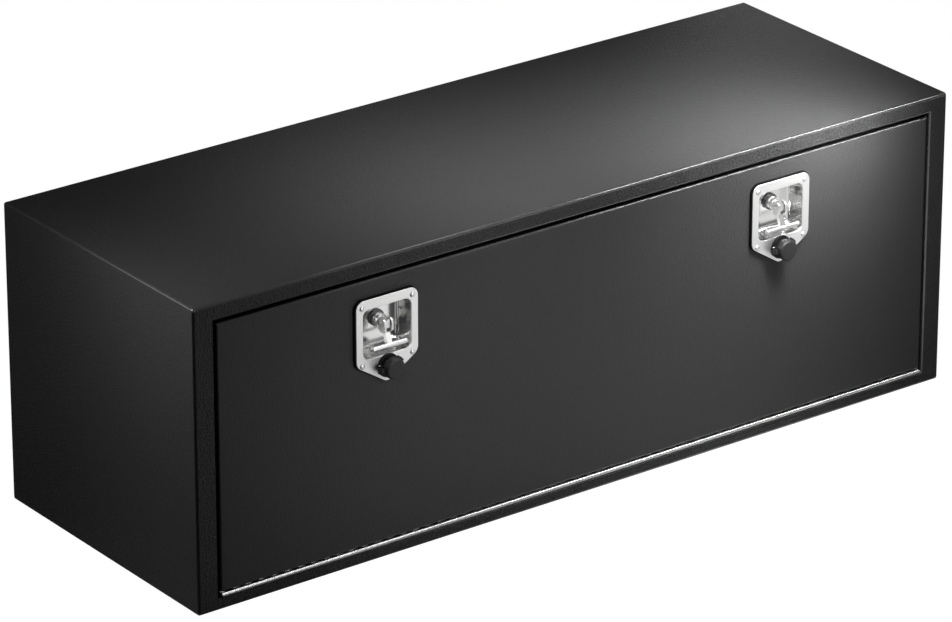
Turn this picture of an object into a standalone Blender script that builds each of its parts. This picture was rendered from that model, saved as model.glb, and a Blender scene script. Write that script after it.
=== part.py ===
"""Underbody truck tool box: a folded steel cabinet with a drop-down door, a full-length
piano hinge and two folding T-handle latches with flip covers over their locks.

Metres, +Z up. The origin is the middle of the base. The door is in front, at -Y.
The door is shut, both T-handles lie folded down and both lock covers are closed."""

import math

import bmesh
import bpy
from mathutils import Vector

# Clearances
TOUCH_GAP = 0.0003
CUT_OVERRUN = 0.002

# Cabinet
BOX_LENGTH = 1.219
BOX_DEPTH = 0.432
BOX_HEIGHT = 0.420
SHEET = 0.0015
RIM_BEND = 0.003
EDGE_BEND = 0.004

# Door frame
STILE_WIDTH = 0.030
HEADER_HEIGHT = 0.023
FRAME_BEND = 0.0025
RETURN_DEPTH = 0.028
SEAL_LIP = 0.018

# Door seal
SEAL_OFFSET = 0.006
SEAL_WIDTH = 0.010
SEAL_FOOT = 0.0022

# Door
DOOR_SIDE_GAP = 0.004
DOOR_TOP_GAP = 0.005
DOOR_DEPTH = 0.020
DOOR_BEND = 0.0025
DOOR_LIP = 0.014
STIFFENER_BELOW_LOCK = 0.1213
STIFFENER_CROWN = 0.034
STIFFENER_FLANGE = 0.016
STIFFENER_SLOPE = 0.009
STIFFENER_DEPTH = 0.013
STIFFENER_SHEET = 0.0012
STIFFENER_END = 0.030

# Piano hinge
HINGE_HEIGHT = 0.0205
HINGE_END_GAP = 0.0005
KNUCKLE_PITCH = 0.010
BARREL_RADIUS = 0.0028
LEAF_SHEET = 0.0012
HINGE_PIN_RADIUS = 0.0013
BODY_LEAF_WIDTH = 0.0225
DOOR_LEAF_WIDTH = 0.0180
NOTCH_CLEARANCE = 0.0005
CURL_STEPS = 4
CURL_END = math.radians(22)

# Latch pan, measured from the spindle's axis
LATCH_SPACING = 0.640
SPINDLE_DROP = 0.0917
PLATE_WIDTH = 0.096
PLATE_TOP = 0.0392
PLATE_SHOULDER = 0.0493
PLATE_TIP = 0.0803
PLATE_SHEET = 0.0018
PLATE_TOP_RADIUS = 0.012
PLATE_SHOULDER_RADIUS = 0.014
PLATE_TIP_RADIUS = 0.010
RECESS_WIDTH = 0.0744
RECESS_TOP = 0.0258
RECESS_BOTTOM = 0.0419
RECESS_DEPTH = 0.025
RECESS_RADIUS = 0.0095
RECESS_DRAFT = 0.0035
FLOOR_RADIUS = 0.0045
DOOR_HOLE_CLEARANCE = 0.0008

# Gasket and blind rivets
GASKET_THICKNESS = 0.0032
GASKET_MARGIN = 0.0004
RIVET_HALF_PITCH = 0.0391
RIVET_ABOVE = 0.0293
RIVET_BELOW = 0.0497
RIVET_HEAD_RADIUS = 0.0036
RIVET_HEAD_HEIGHT = 0.0015
RIVET_SHANK_RADIUS = 0.0019
RIVET_BULB_RADIUS = 0.0028
RIVET_BULB_LENGTH = 0.0035
MANDREL_HOLE_RADIUS = 0.0009
MANDREL_HOLE_DEPTH = 0.0008

# Bush, spindle and cam
BUSH_FLANGE_RADIUS = 0.0113
BUSH_FLANGE_HEIGHT = 0.003
BUSH_RADIUS = 0.008
SPINDLE_RADIUS = 0.006
SPINDLE_HEAD_RADIUS = 0.0075
SPINDLE_GROOVE = 0.0008
SPINDLE_SQUARE = 0.0080
THREAD_RADIUS = 0.0036
THREAD_LENGTH = 0.0085
CAM_GAP = 0.001
CAM_THICKNESS = 0.003
CAM_WIDTH = 0.018
CAM_REACH = 0.060
CAM_TAIL = 0.011
CAM_TIP_RADIUS = 0.006
NUT_ACROSS_FLATS = 0.013
NUT_HEIGHT = 0.0065

# Folding T-handle
PIN_BEHIND_PLATE = 0.003
HANDLE_DROP = 0.0286
HANDLE_BAR_LENGTH = 0.057
HANDLE_BAR_RADIUS = 0.0036
STEM_WIDTH = 0.0074
STEM_THICKNESS = 0.0064
FORK_WIDTH = 0.0137
FORK_LENGTH = 0.0125
FORK_SLOT = 0.0068
FORK_SLOT_DEPTH = 0.009
FORK_CLEARANCE = 0.00045
TONGUE_WIDTH = 0.0062
TONGUE_RADIUS = 0.0055
HANDLE_PIN_RADIUS = 0.002
HANDLE_PIN_HEAD_RADIUS = 0.0027
HANDLE_PIN_HEAD = 0.0006

# Lock
LOCK_DROP = 0.057
LOCK_HEAD_RADIUS = 0.010
LOCK_HEAD_HEIGHT = 0.015
LOCK_BODY_RADIUS = 0.0085
LOCK_BODY_LENGTH = 0.0275
LOCK_NUT_ACROSS_FLATS = 0.022
LOCK_NUT_HEIGHT = 0.0045
PLUG_RADIUS = 0.006
PLUG_SET_BACK = 0.0005
KEY_SLOT_HEIGHT = 0.0084
KEY_SLOT_WIDTH = 0.0014
KEY_SLOT_DEPTH = 0.004
PLUG_STUD_RADIUS = 0.003
PLUG_STUD_HEAD_RADIUS = 0.0042
PLUG_STUD_HEAD = 0.001
TAIL_LENGTH = 0.023
TAIL_WIDTH = 0.010
TAIL_THICKNESS = 0.002

# Flip cover over the lock
COLLAR_RADIUS = 0.012
COLLAR_HEIGHT = 0.0097
COVER_RADIUS = 0.0143
COVER_DEPTH = 0.0100
COVER_DOME = 0.0003
COVER_CHAMFER = 0.0030
COVER_HOLLOW_RADIUS = 0.0113
COVER_ROOF = 0.0035
COVER_PIN_OFFSET = 0.0173
COVER_EAR_RADIUS = 0.0023
COVER_EAR_THICKNESS = 0.0022
COVER_TAB_WIDTH = 0.0058
COVER_PIN_RADIUS = 0.0010
COVER_PIN_PROUD = 0.0004
COVER_LUG_REACH = 0.0028
COVER_LUG_SWEEP = math.radians(34)
COVER_LUG_DIRECTION = math.radians(45)
COVER_LUG_DEPTH = 0.0045

# Facets of round shapes
FINE_STEPS = 20
ROUND_STEPS = 14
SMALL_STEPS = 10
RIVET_STEPS = 8
CORNER_STEPS = 3
SMOOTH_ANGLE = math.radians(38)
HALF_TURN = math.pi
FULL_TURN = 2 * math.pi
HEX_SIDES = 6

# Planes that several pieces share
FRONT = -BOX_DEPTH / 2
BACK = BOX_DEPTH / 2
HALF_LENGTH = BOX_LENGTH / 2
INNER_HALF_LENGTH = HALF_LENGTH - RIM_BEND - TOUCH_GAP
SILL_TOP = HINGE_HEIGHT - BARREL_RADIUS - TOUCH_GAP
HEADER_BOTTOM = BOX_HEIGHT - HEADER_HEIGHT
OPENING_HALF = HALF_LENGTH - STILE_WIDTH
LIP_FRONT = FRONT + RETURN_DEPTH
DOOR_HALF = OPENING_HALF - DOOR_SIDE_GAP
DOOR_BOTTOM = HINGE_HEIGHT + BARREL_RADIUS + TOUCH_GAP
DOOR_TOP = HEADER_BOTTOM - DOOR_TOP_GAP
DOOR_REAR = FRONT + DOOR_DEPTH
HINGE_LENGTH = 2 * (DOOR_HALF - HINGE_END_GAP)
KNUCKLE_PAIRS = int(HINGE_LENGTH / (2 * KNUCKLE_PITCH))
KNUCKLE_COUNT = 2 * KNUCKLE_PAIRS + 1
SPINDLE_HEIGHT = BOX_HEIGHT - SPINDLE_DROP
LOCK_HEIGHT = SPINDLE_HEIGHT - LOCK_DROP
STIFFENER_HEIGHT = LOCK_HEIGHT - STIFFENER_BELOW_LOCK
GASKET_FRONT = FRONT - TOUCH_GAP - GASKET_THICKNESS
PLATE_REAR = GASKET_FRONT - TOUCH_GAP
PLATE_FRONT = PLATE_REAR - PLATE_SHEET
FLOOR_FRONT = PLATE_FRONT + RECESS_DEPTH
FLOOR_REAR = FLOOR_FRONT + PLATE_SHEET
BUSH_FRONT = FLOOR_FRONT - TOUCH_GAP - BUSH_FLANGE_HEIGHT
CAM_FRONT = LIP_FRONT + SHEET + CAM_GAP
CAM_REAR = CAM_FRONT + CAM_THICKNESS
PIN_DEPTH = PLATE_FRONT + PIN_BEHIND_PLATE
FORK_RADIUS = FORK_WIDTH / 2
SPINDLE_FRONT = PIN_DEPTH + FORK_RADIUS + FORK_CLEARANCE
HANDLE_BAR_DEPTH = PLATE_FRONT - TOUCH_GAP - HANDLE_BAR_RADIUS
LOCK_FRONT = PLATE_FRONT - LOCK_HEAD_HEIGHT
LOCK_REAR = LOCK_FRONT + LOCK_HEAD_HEIGHT + LOCK_BODY_LENGTH
COLLAR_FRONT = PLATE_FRONT - COLLAR_HEIGHT
COVER_REAR = COLLAR_FRONT - TOUCH_GAP
COVER_FRONT = COVER_REAR - COVER_DEPTH
COVER_PIN_DEPTH = COLLAR_FRONT + TOUCH_GAP + COVER_EAR_RADIUS
LATCH_SIDES = {"left": -LATCH_SPACING / 2, "right": LATCH_SPACING / 2}


def finish(name, colour, roughness, metallic):
    """A Principled material of one colour."""
    material = bpy.data.materials.new(name)
    material.use_nodes = True
    shader = material.node_tree.nodes["Principled BSDF"]
    shader.inputs["Base Color"].default_value = (*colour, 1.0)
    shader.inputs["Roughness"].default_value = roughness
    shader.inputs["Metallic"].default_value = metallic
    material.diffuse_color = (*colour, 1.0)
    return material


def finishes():
    """Every finish of the tool box, by name."""
    return {
        "powder": finish("black_powder_coat", (0.045, 0.045, 0.047), 0.52, 0.0),
        "stainless": finish("stainless_steel", (0.72, 0.72, 0.71), 0.28, 1.0),
        "zinc": finish("zinc_plated_steel", (0.58, 0.59, 0.60), 0.36, 1.0),
        "rubber": finish("black_rubber", (0.012, 0.012, 0.012), 0.85, 0.0),
        "plastic": finish("black_plastic", (0.028, 0.028, 0.029), 0.55, 0.0),
        "brass": finish("lock_brass", (0.68, 0.56, 0.33), 0.33, 1.0),
    }


def arc(centre, radius, start, end, steps):
    """Points of an arc from the angle start to the angle end, both included."""
    points = []
    for step in range(steps + 1):
        angle = start + (end - start) * step / steps
        points.append(
            (centre[0] + radius * math.cos(angle), centre[1] + radius * math.sin(angle))
        )
    return points


def filleted(corners, steps=CORNER_STEPS):
    """An outline from corners (across, up, radius), each rounded by its radius."""
    outline = []
    for index, (across, up, radius) in enumerate(corners):
        here = Vector((across, up))
        before = (Vector(corners[index - 1][:2]) - here).normalized()
        after = (Vector(corners[(index + 1) % len(corners)][:2]) - here).normalized()
        if radius == 0:
            outline.append(tuple(here))
            continue
        half = before.angle(after) / 2
        centre = here + (before + after).normalized() * (radius / math.sin(half))
        first = here + before * (radius / math.tan(half)) - centre
        last = here + after * (radius / math.tan(half)) - centre
        start = math.atan2(first.y, first.x)
        turn = first.angle_signed(last)
        outline += arc(centre, radius, start, start - turn, steps)
    return [
        point
        for index, point in enumerate(outline)
        if math.dist(point, outline[index - 1]) > TOUCH_GAP / 10
    ]


def rectangle(left, right, low, high, radius=0, steps=CORNER_STEPS):
    """A rectangle's outline, counter-clockwise, with rounded corners."""
    corners = [(left, low), (right, low), (right, high), (left, high)]
    return filleted([(*corner, radius) for corner in corners], steps)


def hexagon(centre, across_flats):
    """A nut's outline with a flat on top."""
    radius = across_flats / math.sqrt(3)
    return arc(centre, radius, 0, FULL_TURN, HEX_SIDES)[:-1]


def lay(outline, axis, position):
    """A flat outline's points in space, square to the axis at the position."""
    if axis == "X":
        return [Vector((position, u, v)) for u, v in outline]
    if axis == "Y":
        return [Vector((u, position, v)) for u, v in outline]
    return [Vector((u, v, position)) for u, v in outline]


def skin(rings, closed=False):
    """A closed mesh through rings of equally many points. A ring of one point is a pole.
    A closed skin joins its last ring to its first, and an open one has flat ends."""
    shape = bmesh.new()
    rows = [[shape.verts.new(point) for point in ring] for ring in rings]
    pairs = list(zip(rows, rows[1:]))
    if closed:
        pairs.append((rows[-1], rows[0]))
    for near, far in pairs:
        count = max(len(near), len(far))
        for index in range(count):
            after = (index + 1) % count
            corners = [near[index % len(near)], near[after % len(near)]]
            corners += [far[after % len(far)], far[index % len(far)]]
            shape.faces.new(dict.fromkeys(corners))
    if not closed:
        for row in (rows[0], rows[-1]):
            if len(row) > 1:
                shape.faces.new(row)
    bmesh.ops.recalc_face_normals(shape, faces=shape.faces)
    return shape


def prism(outline, axis, low, high):
    """An outline pushed along an axis from low to high."""
    return skin([lay(outline, axis, low), lay(outline, axis, high)])


def turned(profile, axis, centre, steps, closed=False):
    """A profile of (radius, position) turned about an axis through the centre."""
    rings = []
    for radius, position in profile:
        circle = arc(centre, radius, 0, FULL_TURN, steps)[:-1]
        rings.append(lay(circle if radius else [centre], axis, position))
    return skin(rings, closed)


def rod(axis, centre, radius, low, high, steps=SMALL_STEPS):
    """A plain round bar along an axis."""
    return turned([(radius, low), (radius, high)], axis, centre, steps)


def world_place(carrier):
    """Where a carrier stands, through all its parents."""
    place = Vector()
    while carrier:
        place += carrier.location
        carrier = carrier.parent
    return place


def carrier(name, place, parent=None):
    """An empty on a joint's axis, which carries the pieces of one moving body."""
    empty = bpy.data.objects.new(name, None)
    empty.parent = parent
    empty.location = Vector(place) - world_place(parent)
    bpy.context.scene.collection.objects.link(empty)
    return empty


def piece(name, shape, material, parent):
    """A named part made from a mesh in world coordinates, with its origin on its carrier."""
    mesh = bpy.data.meshes.new(name)
    bmesh.ops.translate(shape, verts=shape.verts, vec=-world_place(parent))
    shape.to_mesh(mesh)
    shape.free()
    mesh.materials.append(material)
    mesh.shade_smooth()
    mesh.set_sharp_from_angle(angle=SMOOTH_ANGLE)
    made = bpy.data.objects.new(name, mesh)
    made.parent = parent
    bpy.context.scene.collection.objects.link(made)
    return made


def combine(target, shapes, operation):
    """Cuts shapes that lie apart from a part, or joins them to it, by one Boolean."""
    name = f"{target.name}_{operation.lower()}_{len(target.modifiers)}"
    mesh = bpy.data.meshes.new(name)
    together = bmesh.new()
    for shape in shapes:
        shape.to_mesh(mesh)
        shape.free()
        together.from_mesh(mesh)
    together.to_mesh(mesh)
    together.free()
    tool = bpy.data.objects.new(name, mesh)
    tool.hide_render = True
    tool.display_type = "WIRE"
    bpy.context.scene.collection.objects.link(tool)
    modifier = target.modifiers.new(name, "BOOLEAN")
    modifier.operation = operation
    modifier.solver = "EXACT"
    modifier.object = tool


def cut(target, *shapes):
    combine(target, shapes, "DIFFERENCE")


def join(target, *shapes):
    combine(target, shapes, "UNION")


def bend_profile(radius, sheet):
    """(inset, depth) of a rim's bend: outside from the face to the edge, then inside back."""
    quarter = HALF_TURN / 2
    outside = arc((radius, radius), radius, -quarter, -2 * quarter, CORNER_STEPS)
    inside = arc((radius, radius), radius - sheet, -2 * quarter, -quarter, CORNER_STEPS)
    return outside + inside


def end_panel(name, side, material, root):
    """A tray with bent rims that closes one end of the cabinet."""
    rings = []
    for inset, depth in bend_profile(RIM_BEND, SHEET):
        outline = rectangle(
            FRONT + inset, BACK - inset, inset, BOX_HEIGHT - inset, EDGE_BEND - inset
        )
        rings.append(lay(outline, "X", side * (HALF_LENGTH - depth)))
    return piece(name, skin(rings), material, root)


def body_wrap(material, root):
    """The top, back and bottom, folded from one sheet, with its two front bends."""
    inner = EDGE_BEND - SHEET
    high = BOX_HEIGHT - EDGE_BEND
    near, far = FRONT + EDGE_BEND, BACK - EDGE_BEND
    quarter = HALF_TURN / 2
    corners = [
        ((near, high), 2 * quarter),
        ((far, high), quarter),
        ((far, EDGE_BEND), 0),
        ((near, EDGE_BEND), -quarter),
    ]
    outside, inside = [], []
    for centre, start in corners:
        outside += arc(centre, EDGE_BEND, start, start - quarter, CORNER_STEPS)
        inside += arc(centre, inner, start, start - quarter, CORNER_STEPS)
    outline = outside + inside[::-1]
    shape = prism(outline, "X", -INNER_HALF_LENGTH, INNER_HALF_LENGTH)
    return piece("body_wrap", shape, material, root)


def opening_ring(inset, depth):
    """The door opening's rectangle, drawn in by an inset."""
    return lay(
        rectangle(
            inset - OPENING_HALF,
            OPENING_HALF - inset,
            SILL_TOP + inset,
            HEADER_BOTTOM - inset,
        ),
        "Y",
        depth,
    )


def front_frame(material, root):
    """The face round the door, folded back into the opening and in again as a seal lip."""
    outer = rectangle(
        -INNER_HALF_LENGTH,
        INNER_HALF_LENGTH,
        EDGE_BEND + TOUCH_GAP,
        BOX_HEIGHT - EDGE_BEND - TOUCH_GAP,
    )
    quarter = HALF_TURN / 2
    rings = [lay(outer, "Y", FRONT)]
    centre = (-FRAME_BEND, FRONT + FRAME_BEND)
    for inset, depth in arc(centre, FRAME_BEND, -quarter, 0, CORNER_STEPS):
        rings.append(opening_ring(inset, depth))
    rings.append(opening_ring(0, LIP_FRONT))
    rings.append(opening_ring(SEAL_LIP, LIP_FRONT))
    rings.append(opening_ring(SEAL_LIP, LIP_FRONT + SHEET))
    rings.append(opening_ring(-SHEET, LIP_FRONT + SHEET))
    inner = arc(centre, FRAME_BEND - SHEET, 0, -quarter, CORNER_STEPS)
    for inset, depth in inner:
        rings.append(opening_ring(inset, depth))
    rings.append(lay(outer, "Y", FRONT + SHEET))
    return piece("front_frame", skin(rings, closed=True), material, root)


def door_seal(material, root):
    """A bulb seal round the opening, with a flat foot on the seal lip."""
    foot = LIP_FRONT - TOUCH_GAP
    crown = DOOR_REAR + TOUCH_GAP
    middle = SEAL_OFFSET + SEAL_WIDTH / 2
    half = SEAL_WIDTH / 2
    rise = foot - SEAL_FOOT - crown
    rings = [opening_ring(middle + half, foot), opening_ring(middle - half, foot)]
    for across, up in arc((0, 0), 1, HALF_TURN, 0, CORNER_STEPS + 1):
        depth = foot - SEAL_FOOT - rise * up
        rings.append(opening_ring(middle + half * across, depth))
    return piece("door_seal", skin(rings, closed=True), material, root)


def door_panel(material, door):
    """The door's sheet, folded back on four sides and in again at the rear."""

    def ring(inset, depth):
        outline = rectangle(
            inset - DOOR_HALF, DOOR_HALF - inset, DOOR_BOTTOM + inset, DOOR_TOP - inset
        )
        return lay(outline, "Y", FRONT + depth)

    quarter = HALF_TURN / 2
    centre = (DOOR_BEND, DOOR_BEND)
    inner = DOOR_BEND - SHEET
    rings = [ring(*at) for at in arc(centre, DOOR_BEND, -quarter, -HALF_TURN, CORNER_STEPS)]
    rings.append(ring(0, DOOR_DEPTH))
    rings.append(ring(DOOR_LIP, DOOR_DEPTH))
    rings.append(ring(DOOR_LIP, DOOR_DEPTH - SHEET))
    rings.append(ring(SHEET, DOOR_DEPTH - SHEET))
    rings += [ring(*at) for at in arc(centre, inner, -HALF_TURN, -quarter, CORNER_STEPS)]
    return piece("door_panel", skin(rings), material, door)


def door_stiffener(material, door):
    """A hat channel along the inside of the door."""
    half = STIFFENER_CROWN / 2
    wide = half + STIFFENER_SLOPE
    edge = wide + STIFFENER_FLANGE
    sheet = STIFFENER_SHEET
    near = FRONT + SHEET + TOUCH_GAP
    far = near + STIFFENER_DEPTH
    low = [(near, edge), (near, wide), (far - sheet, half)]
    high = [(far, half + sheet), (near + sheet, wide + sheet), (near + sheet, edge)]
    outline = [(y, STIFFENER_HEIGHT - z) for y, z in low]
    outline += [(y, STIFFENER_HEIGHT + z) for y, z in reversed(low)]
    outline += [(y, STIFFENER_HEIGHT + z) for y, z in reversed(high)]
    outline += [(y, STIFFENER_HEIGHT - z) for y, z in high]
    reach = DOOR_HALF - DOOR_LIP - STIFFENER_END
    shape = prism(outline, "X", -reach, reach)
    return piece("door_stiffener", shape, material, door)


def knuckle_span(index):
    """The ends along X of one knuckle of the barrel."""
    pitch = HINGE_LENGTH / KNUCKLE_COUNT
    start = index * pitch - HINGE_LENGTH / 2
    return start + TOUCH_GAP / 2, start + pitch - TOUCH_GAP / 2


def hinge_leaf(name, first, width, flip, material, carried_by):
    """A leaf with every other knuckle rolled round the pin from its front edge.
    The leaf lies below the pin, or above it where flip is -1."""
    inside = BARREL_RADIUS - LEAF_SHEET
    reach = BARREL_RADIUS + NOTCH_CLEARANCE
    notch = math.sqrt(reach**2 - inside**2) + NOTCH_CLEARANCE
    quarter = HALF_TURN / 2
    curl = arc((0, 0), BARREL_RADIUS, -quarter, -2 * HALF_TURN + CURL_END, CURL_STEPS)
    curl += arc((0, 0), inside, -2 * HALF_TURN + CURL_END, -quarter, CURL_STEPS)
    curl = [(FRONT + y, HINGE_HEIGHT + flip * z) for y, z in curl]
    low = HINGE_HEIGHT - flip * BARREL_RADIUS
    high = HINGE_HEIGHT - flip * inside
    near, far = FRONT + notch, FRONT + width
    spans = [knuckle_span(index) for index in range(first, KNUCKLE_COUNT, 2)]
    left = knuckle_span(0)[0]
    right = knuckle_span(KNUCKLE_COUNT - 1)[1]

    shape = bmesh.new()
    edges = sorted({left, right, *(x for span in spans for x in span)})
    lower = {x: shape.verts.new((x, near, low)) for x in edges}
    upper = {x: shape.verts.new((x, near, high)) for x in edges}
    ends = [shape.verts.new((x, far, z)) for x, z in ((left, low), (right, low))]
    tops = [shape.verts.new((x, far, z)) for x, z in ((left, high), (right, high))]
    shape.faces.new([*lower.values(), ends[1], ends[0]])
    shape.faces.new([*upper.values(), tops[1], tops[0]])
    shape.faces.new([ends[0], ends[1], tops[1], tops[0]])
    shape.faces.new([lower[left], upper[left], tops[0], ends[0]])
    shape.faces.new([lower[right], upper[right], tops[1], ends[1]])
    for start, end in zip(edges, edges[1:]):
        if (start, end) not in spans:
            shape.faces.new([lower[start], lower[end], upper[end], upper[start]])
    for start, end in spans:
        sides = []
        for x in (start, end):
            points = [shape.verts.new((x, y, z)) for y, z in curl]
            sides.append([lower[x], *points, upper[x]])
            shape.faces.new(sides[-1])
        for index in range(len(curl) + 1):
            shape.faces.new(
                [sides[0][index], sides[0][index + 1], sides[1][index + 1], sides[1][index]]
            )
    bmesh.ops.recalc_face_normals(shape, faces=shape.faces)
    return piece(name, shape, material, carried_by)


def hinge(metals, root, door):
    """The pin and both leaves of the full-length hinge."""
    half = HINGE_LENGTH / 2
    pin = rod("X", (FRONT, HINGE_HEIGHT), HINGE_PIN_RADIUS, -half, half)
    piece("hinge_pin", pin, metals["stainless"], root)
    stainless = metals["stainless"]
    hinge_leaf("hinge_body_leaf", 0, BODY_LEAF_WIDTH, 1, stainless, root)
    hinge_leaf("hinge_door_leaf", 1, DOOR_LEAF_WIDTH, -1, stainless, door)


def plate_outline(x, margin=0):
    """The latch plate's outline: square at the top, sloping to a round tip at the bottom."""
    half = PLATE_WIDTH / 2 + margin
    top = SPINDLE_HEIGHT + PLATE_TOP + margin
    shoulder = SPINDLE_HEIGHT - PLATE_SHOULDER - margin / 2
    tip = SPINDLE_HEIGHT - PLATE_TIP - margin
    return filleted(
        [
            (x - half, shoulder, PLATE_SHOULDER_RADIUS),
            (x, tip, PLATE_TIP_RADIUS),
            (x + half, shoulder, PLATE_SHOULDER_RADIUS),
            (x + half, top, PLATE_TOP_RADIUS),
            (x - half, top, PLATE_TOP_RADIUS),
        ]
    )


def recess_outline(x, margin):
    """The recess's rounded outline, wider by a margin."""
    half = RECESS_WIDTH / 2 + margin
    low = SPINDLE_HEIGHT - RECESS_BOTTOM - margin
    high = SPINDLE_HEIGHT + RECESS_TOP + margin
    return rectangle(x - half, x + half, low, high, RECESS_RADIUS + margin)


def recess_solid(x, wall, front):
    """The recess as a solid that narrows to a floor with a round edge."""
    quarter = HALF_TURN / 2
    radius = FLOOR_RADIUS + wall
    floor = FLOOR_FRONT + wall
    rings = [lay(recess_outline(x, wall), "Y", front)]
    for across, deep in arc((0, 0), 1, 0, quarter, CORNER_STEPS):
        margin = wall - RECESS_DRAFT + radius * (across - 1)
        rings.append(lay(recess_outline(x, margin), "Y", floor - radius * (1 - deep)))
    return skin(rings)


def rivet_places(x):
    """The four rivets' places on the plate, round the recess."""
    places = []
    for up in (RIVET_ABOVE, -RIVET_BELOW):
        for side in (-RIVET_HALF_PITCH, RIVET_HALF_PITCH):
            places.append((x + side, SPINDLE_HEIGHT + up))
    return places


def rivet_holes(x, low, high):
    """Cutters for the rivets' shanks."""
    radius = RIVET_SHANK_RADIUS + TOUCH_GAP / math.cos(HALF_TURN / RIVET_STEPS)
    return [rod("Y", at, radius, low, high, RIVET_STEPS) for at in rivet_places(x)]


def lock_hole(x, low, high):
    """A cutter for the lock's body."""
    radius = LOCK_BODY_RADIUS + 2 * TOUCH_GAP
    return rod("Y", (x, LOCK_HEIGHT), radius, low, high, ROUND_STEPS)


def door_cutouts(panel, x):
    """The holes in the door for one latch."""
    low, high = FRONT - CUT_OVERRUN, FRONT + SHEET + CUT_OVERRUN
    margin = PLATE_SHEET + DOOR_HOLE_CLEARANCE
    recess = prism(recess_outline(x, margin), "Y", low, high)
    cut(panel, recess, lock_hole(x, low, high), *rivet_holes(x, low, high))


def latch_pan(side, x, material, door):
    """The pressed plate with its recess."""
    plate = prism(plate_outline(x), "Y", PLATE_FRONT, PLATE_REAR)
    pan = piece(f"{side}_latch_pan", plate, material, door)
    join(pan, recess_solid(x, PLATE_SHEET, PLATE_FRONT + PLATE_SHEET / 2))
    recess = recess_solid(x, 0, PLATE_FRONT - CUT_OVERRUN)
    low, high = PLATE_FRONT - CUT_OVERRUN, PLATE_REAR + CUT_OVERRUN
    cut(pan, recess, lock_hole(x, low, high), *rivet_holes(x, low, high))
    bush = rod(
        "Y",
        (x, SPINDLE_HEIGHT),
        BUSH_RADIUS + 2 * TOUCH_GAP,
        FLOOR_FRONT - CUT_OVERRUN,
        FLOOR_REAR + CUT_OVERRUN,
        ROUND_STEPS,
    )
    cut(pan, bush)


def latch_gasket(side, x, material, door):
    """The rubber sheet between the plate and the door."""
    shape = prism(
        plate_outline(x, GASKET_MARGIN), "Y", GASKET_FRONT, GASKET_FRONT + GASKET_THICKNESS
    )
    gasket = piece(f"{side}_latch_gasket", shape, material, door)
    low, high = PLATE_REAR - CUT_OVERRUN, FRONT + CUT_OVERRUN
    margin = PLATE_SHEET + DOOR_HOLE_CLEARANCE
    recess = prism(recess_outline(x, margin), "Y", low, high)
    cut(gasket, recess, lock_hole(x, low, high), *rivet_holes(x, low, high))


def latch_rivets(side, x, material, door):
    """Four blind rivets through plate, gasket and door."""
    seat = PLATE_FRONT - TOUCH_GAP
    crown = seat - RIVET_HEAD_HEIGHT
    blind = FRONT + SHEET + TOUCH_GAP
    end = blind + RIVET_BULB_LENGTH
    middle = (RIVET_HEAD_RADIUS + MANDREL_HOLE_RADIUS) / 2
    profile = [
        (0, crown + MANDREL_HOLE_DEPTH),
        (MANDREL_HOLE_RADIUS, crown + MANDREL_HOLE_DEPTH),
        (MANDREL_HOLE_RADIUS, crown),
        (middle, crown + RIVET_HEAD_HEIGHT / 4),
        (RIVET_HEAD_RADIUS, seat),
        (RIVET_SHANK_RADIUS, seat),
        (RIVET_SHANK_RADIUS, blind),
        (RIVET_BULB_RADIUS, blind),
        (RIVET_BULB_RADIUS, end - RIVET_SHANK_RADIUS / 2),
        (0, end),
    ]
    for number, place in enumerate(rivet_places(x), 1):
        shape = turned(profile, "Y", place, RIVET_STEPS)
        piece(f"{side}_latch_rivet_{number}", shape, material, door)


def spindle_bush(side, x, material, door):
    """The bearing swaged into the recess's floor."""
    bore = SPINDLE_RADIUS + TOUCH_GAP
    rear = CAM_FRONT - TOUCH_GAP
    collar = FLOOR_REAR + TOUCH_GAP
    swage = collar + BUSH_FLANGE_HEIGHT / 2
    swage_radius = (BUSH_RADIUS + BUSH_FLANGE_RADIUS) / 2
    profile = [
        (bore, BUSH_FRONT),
        (BUSH_FLANGE_RADIUS - TOUCH_GAP, BUSH_FRONT),
        (BUSH_FLANGE_RADIUS, BUSH_FRONT + TOUCH_GAP),
        (BUSH_FLANGE_RADIUS, BUSH_FRONT + BUSH_FLANGE_HEIGHT),
        (BUSH_RADIUS, BUSH_FRONT + BUSH_FLANGE_HEIGHT),
        (BUSH_RADIUS, collar),
        (swage_radius, collar),
        (BUSH_RADIUS, swage),
        (BUSH_RADIUS, rear),
        (bore, rear),
    ]
    shape = turned(profile, "Y", (x, SPINDLE_HEIGHT), ROUND_STEPS, closed=True)
    piece(f"{side}_spindle_bush", shape, material, door)


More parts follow.
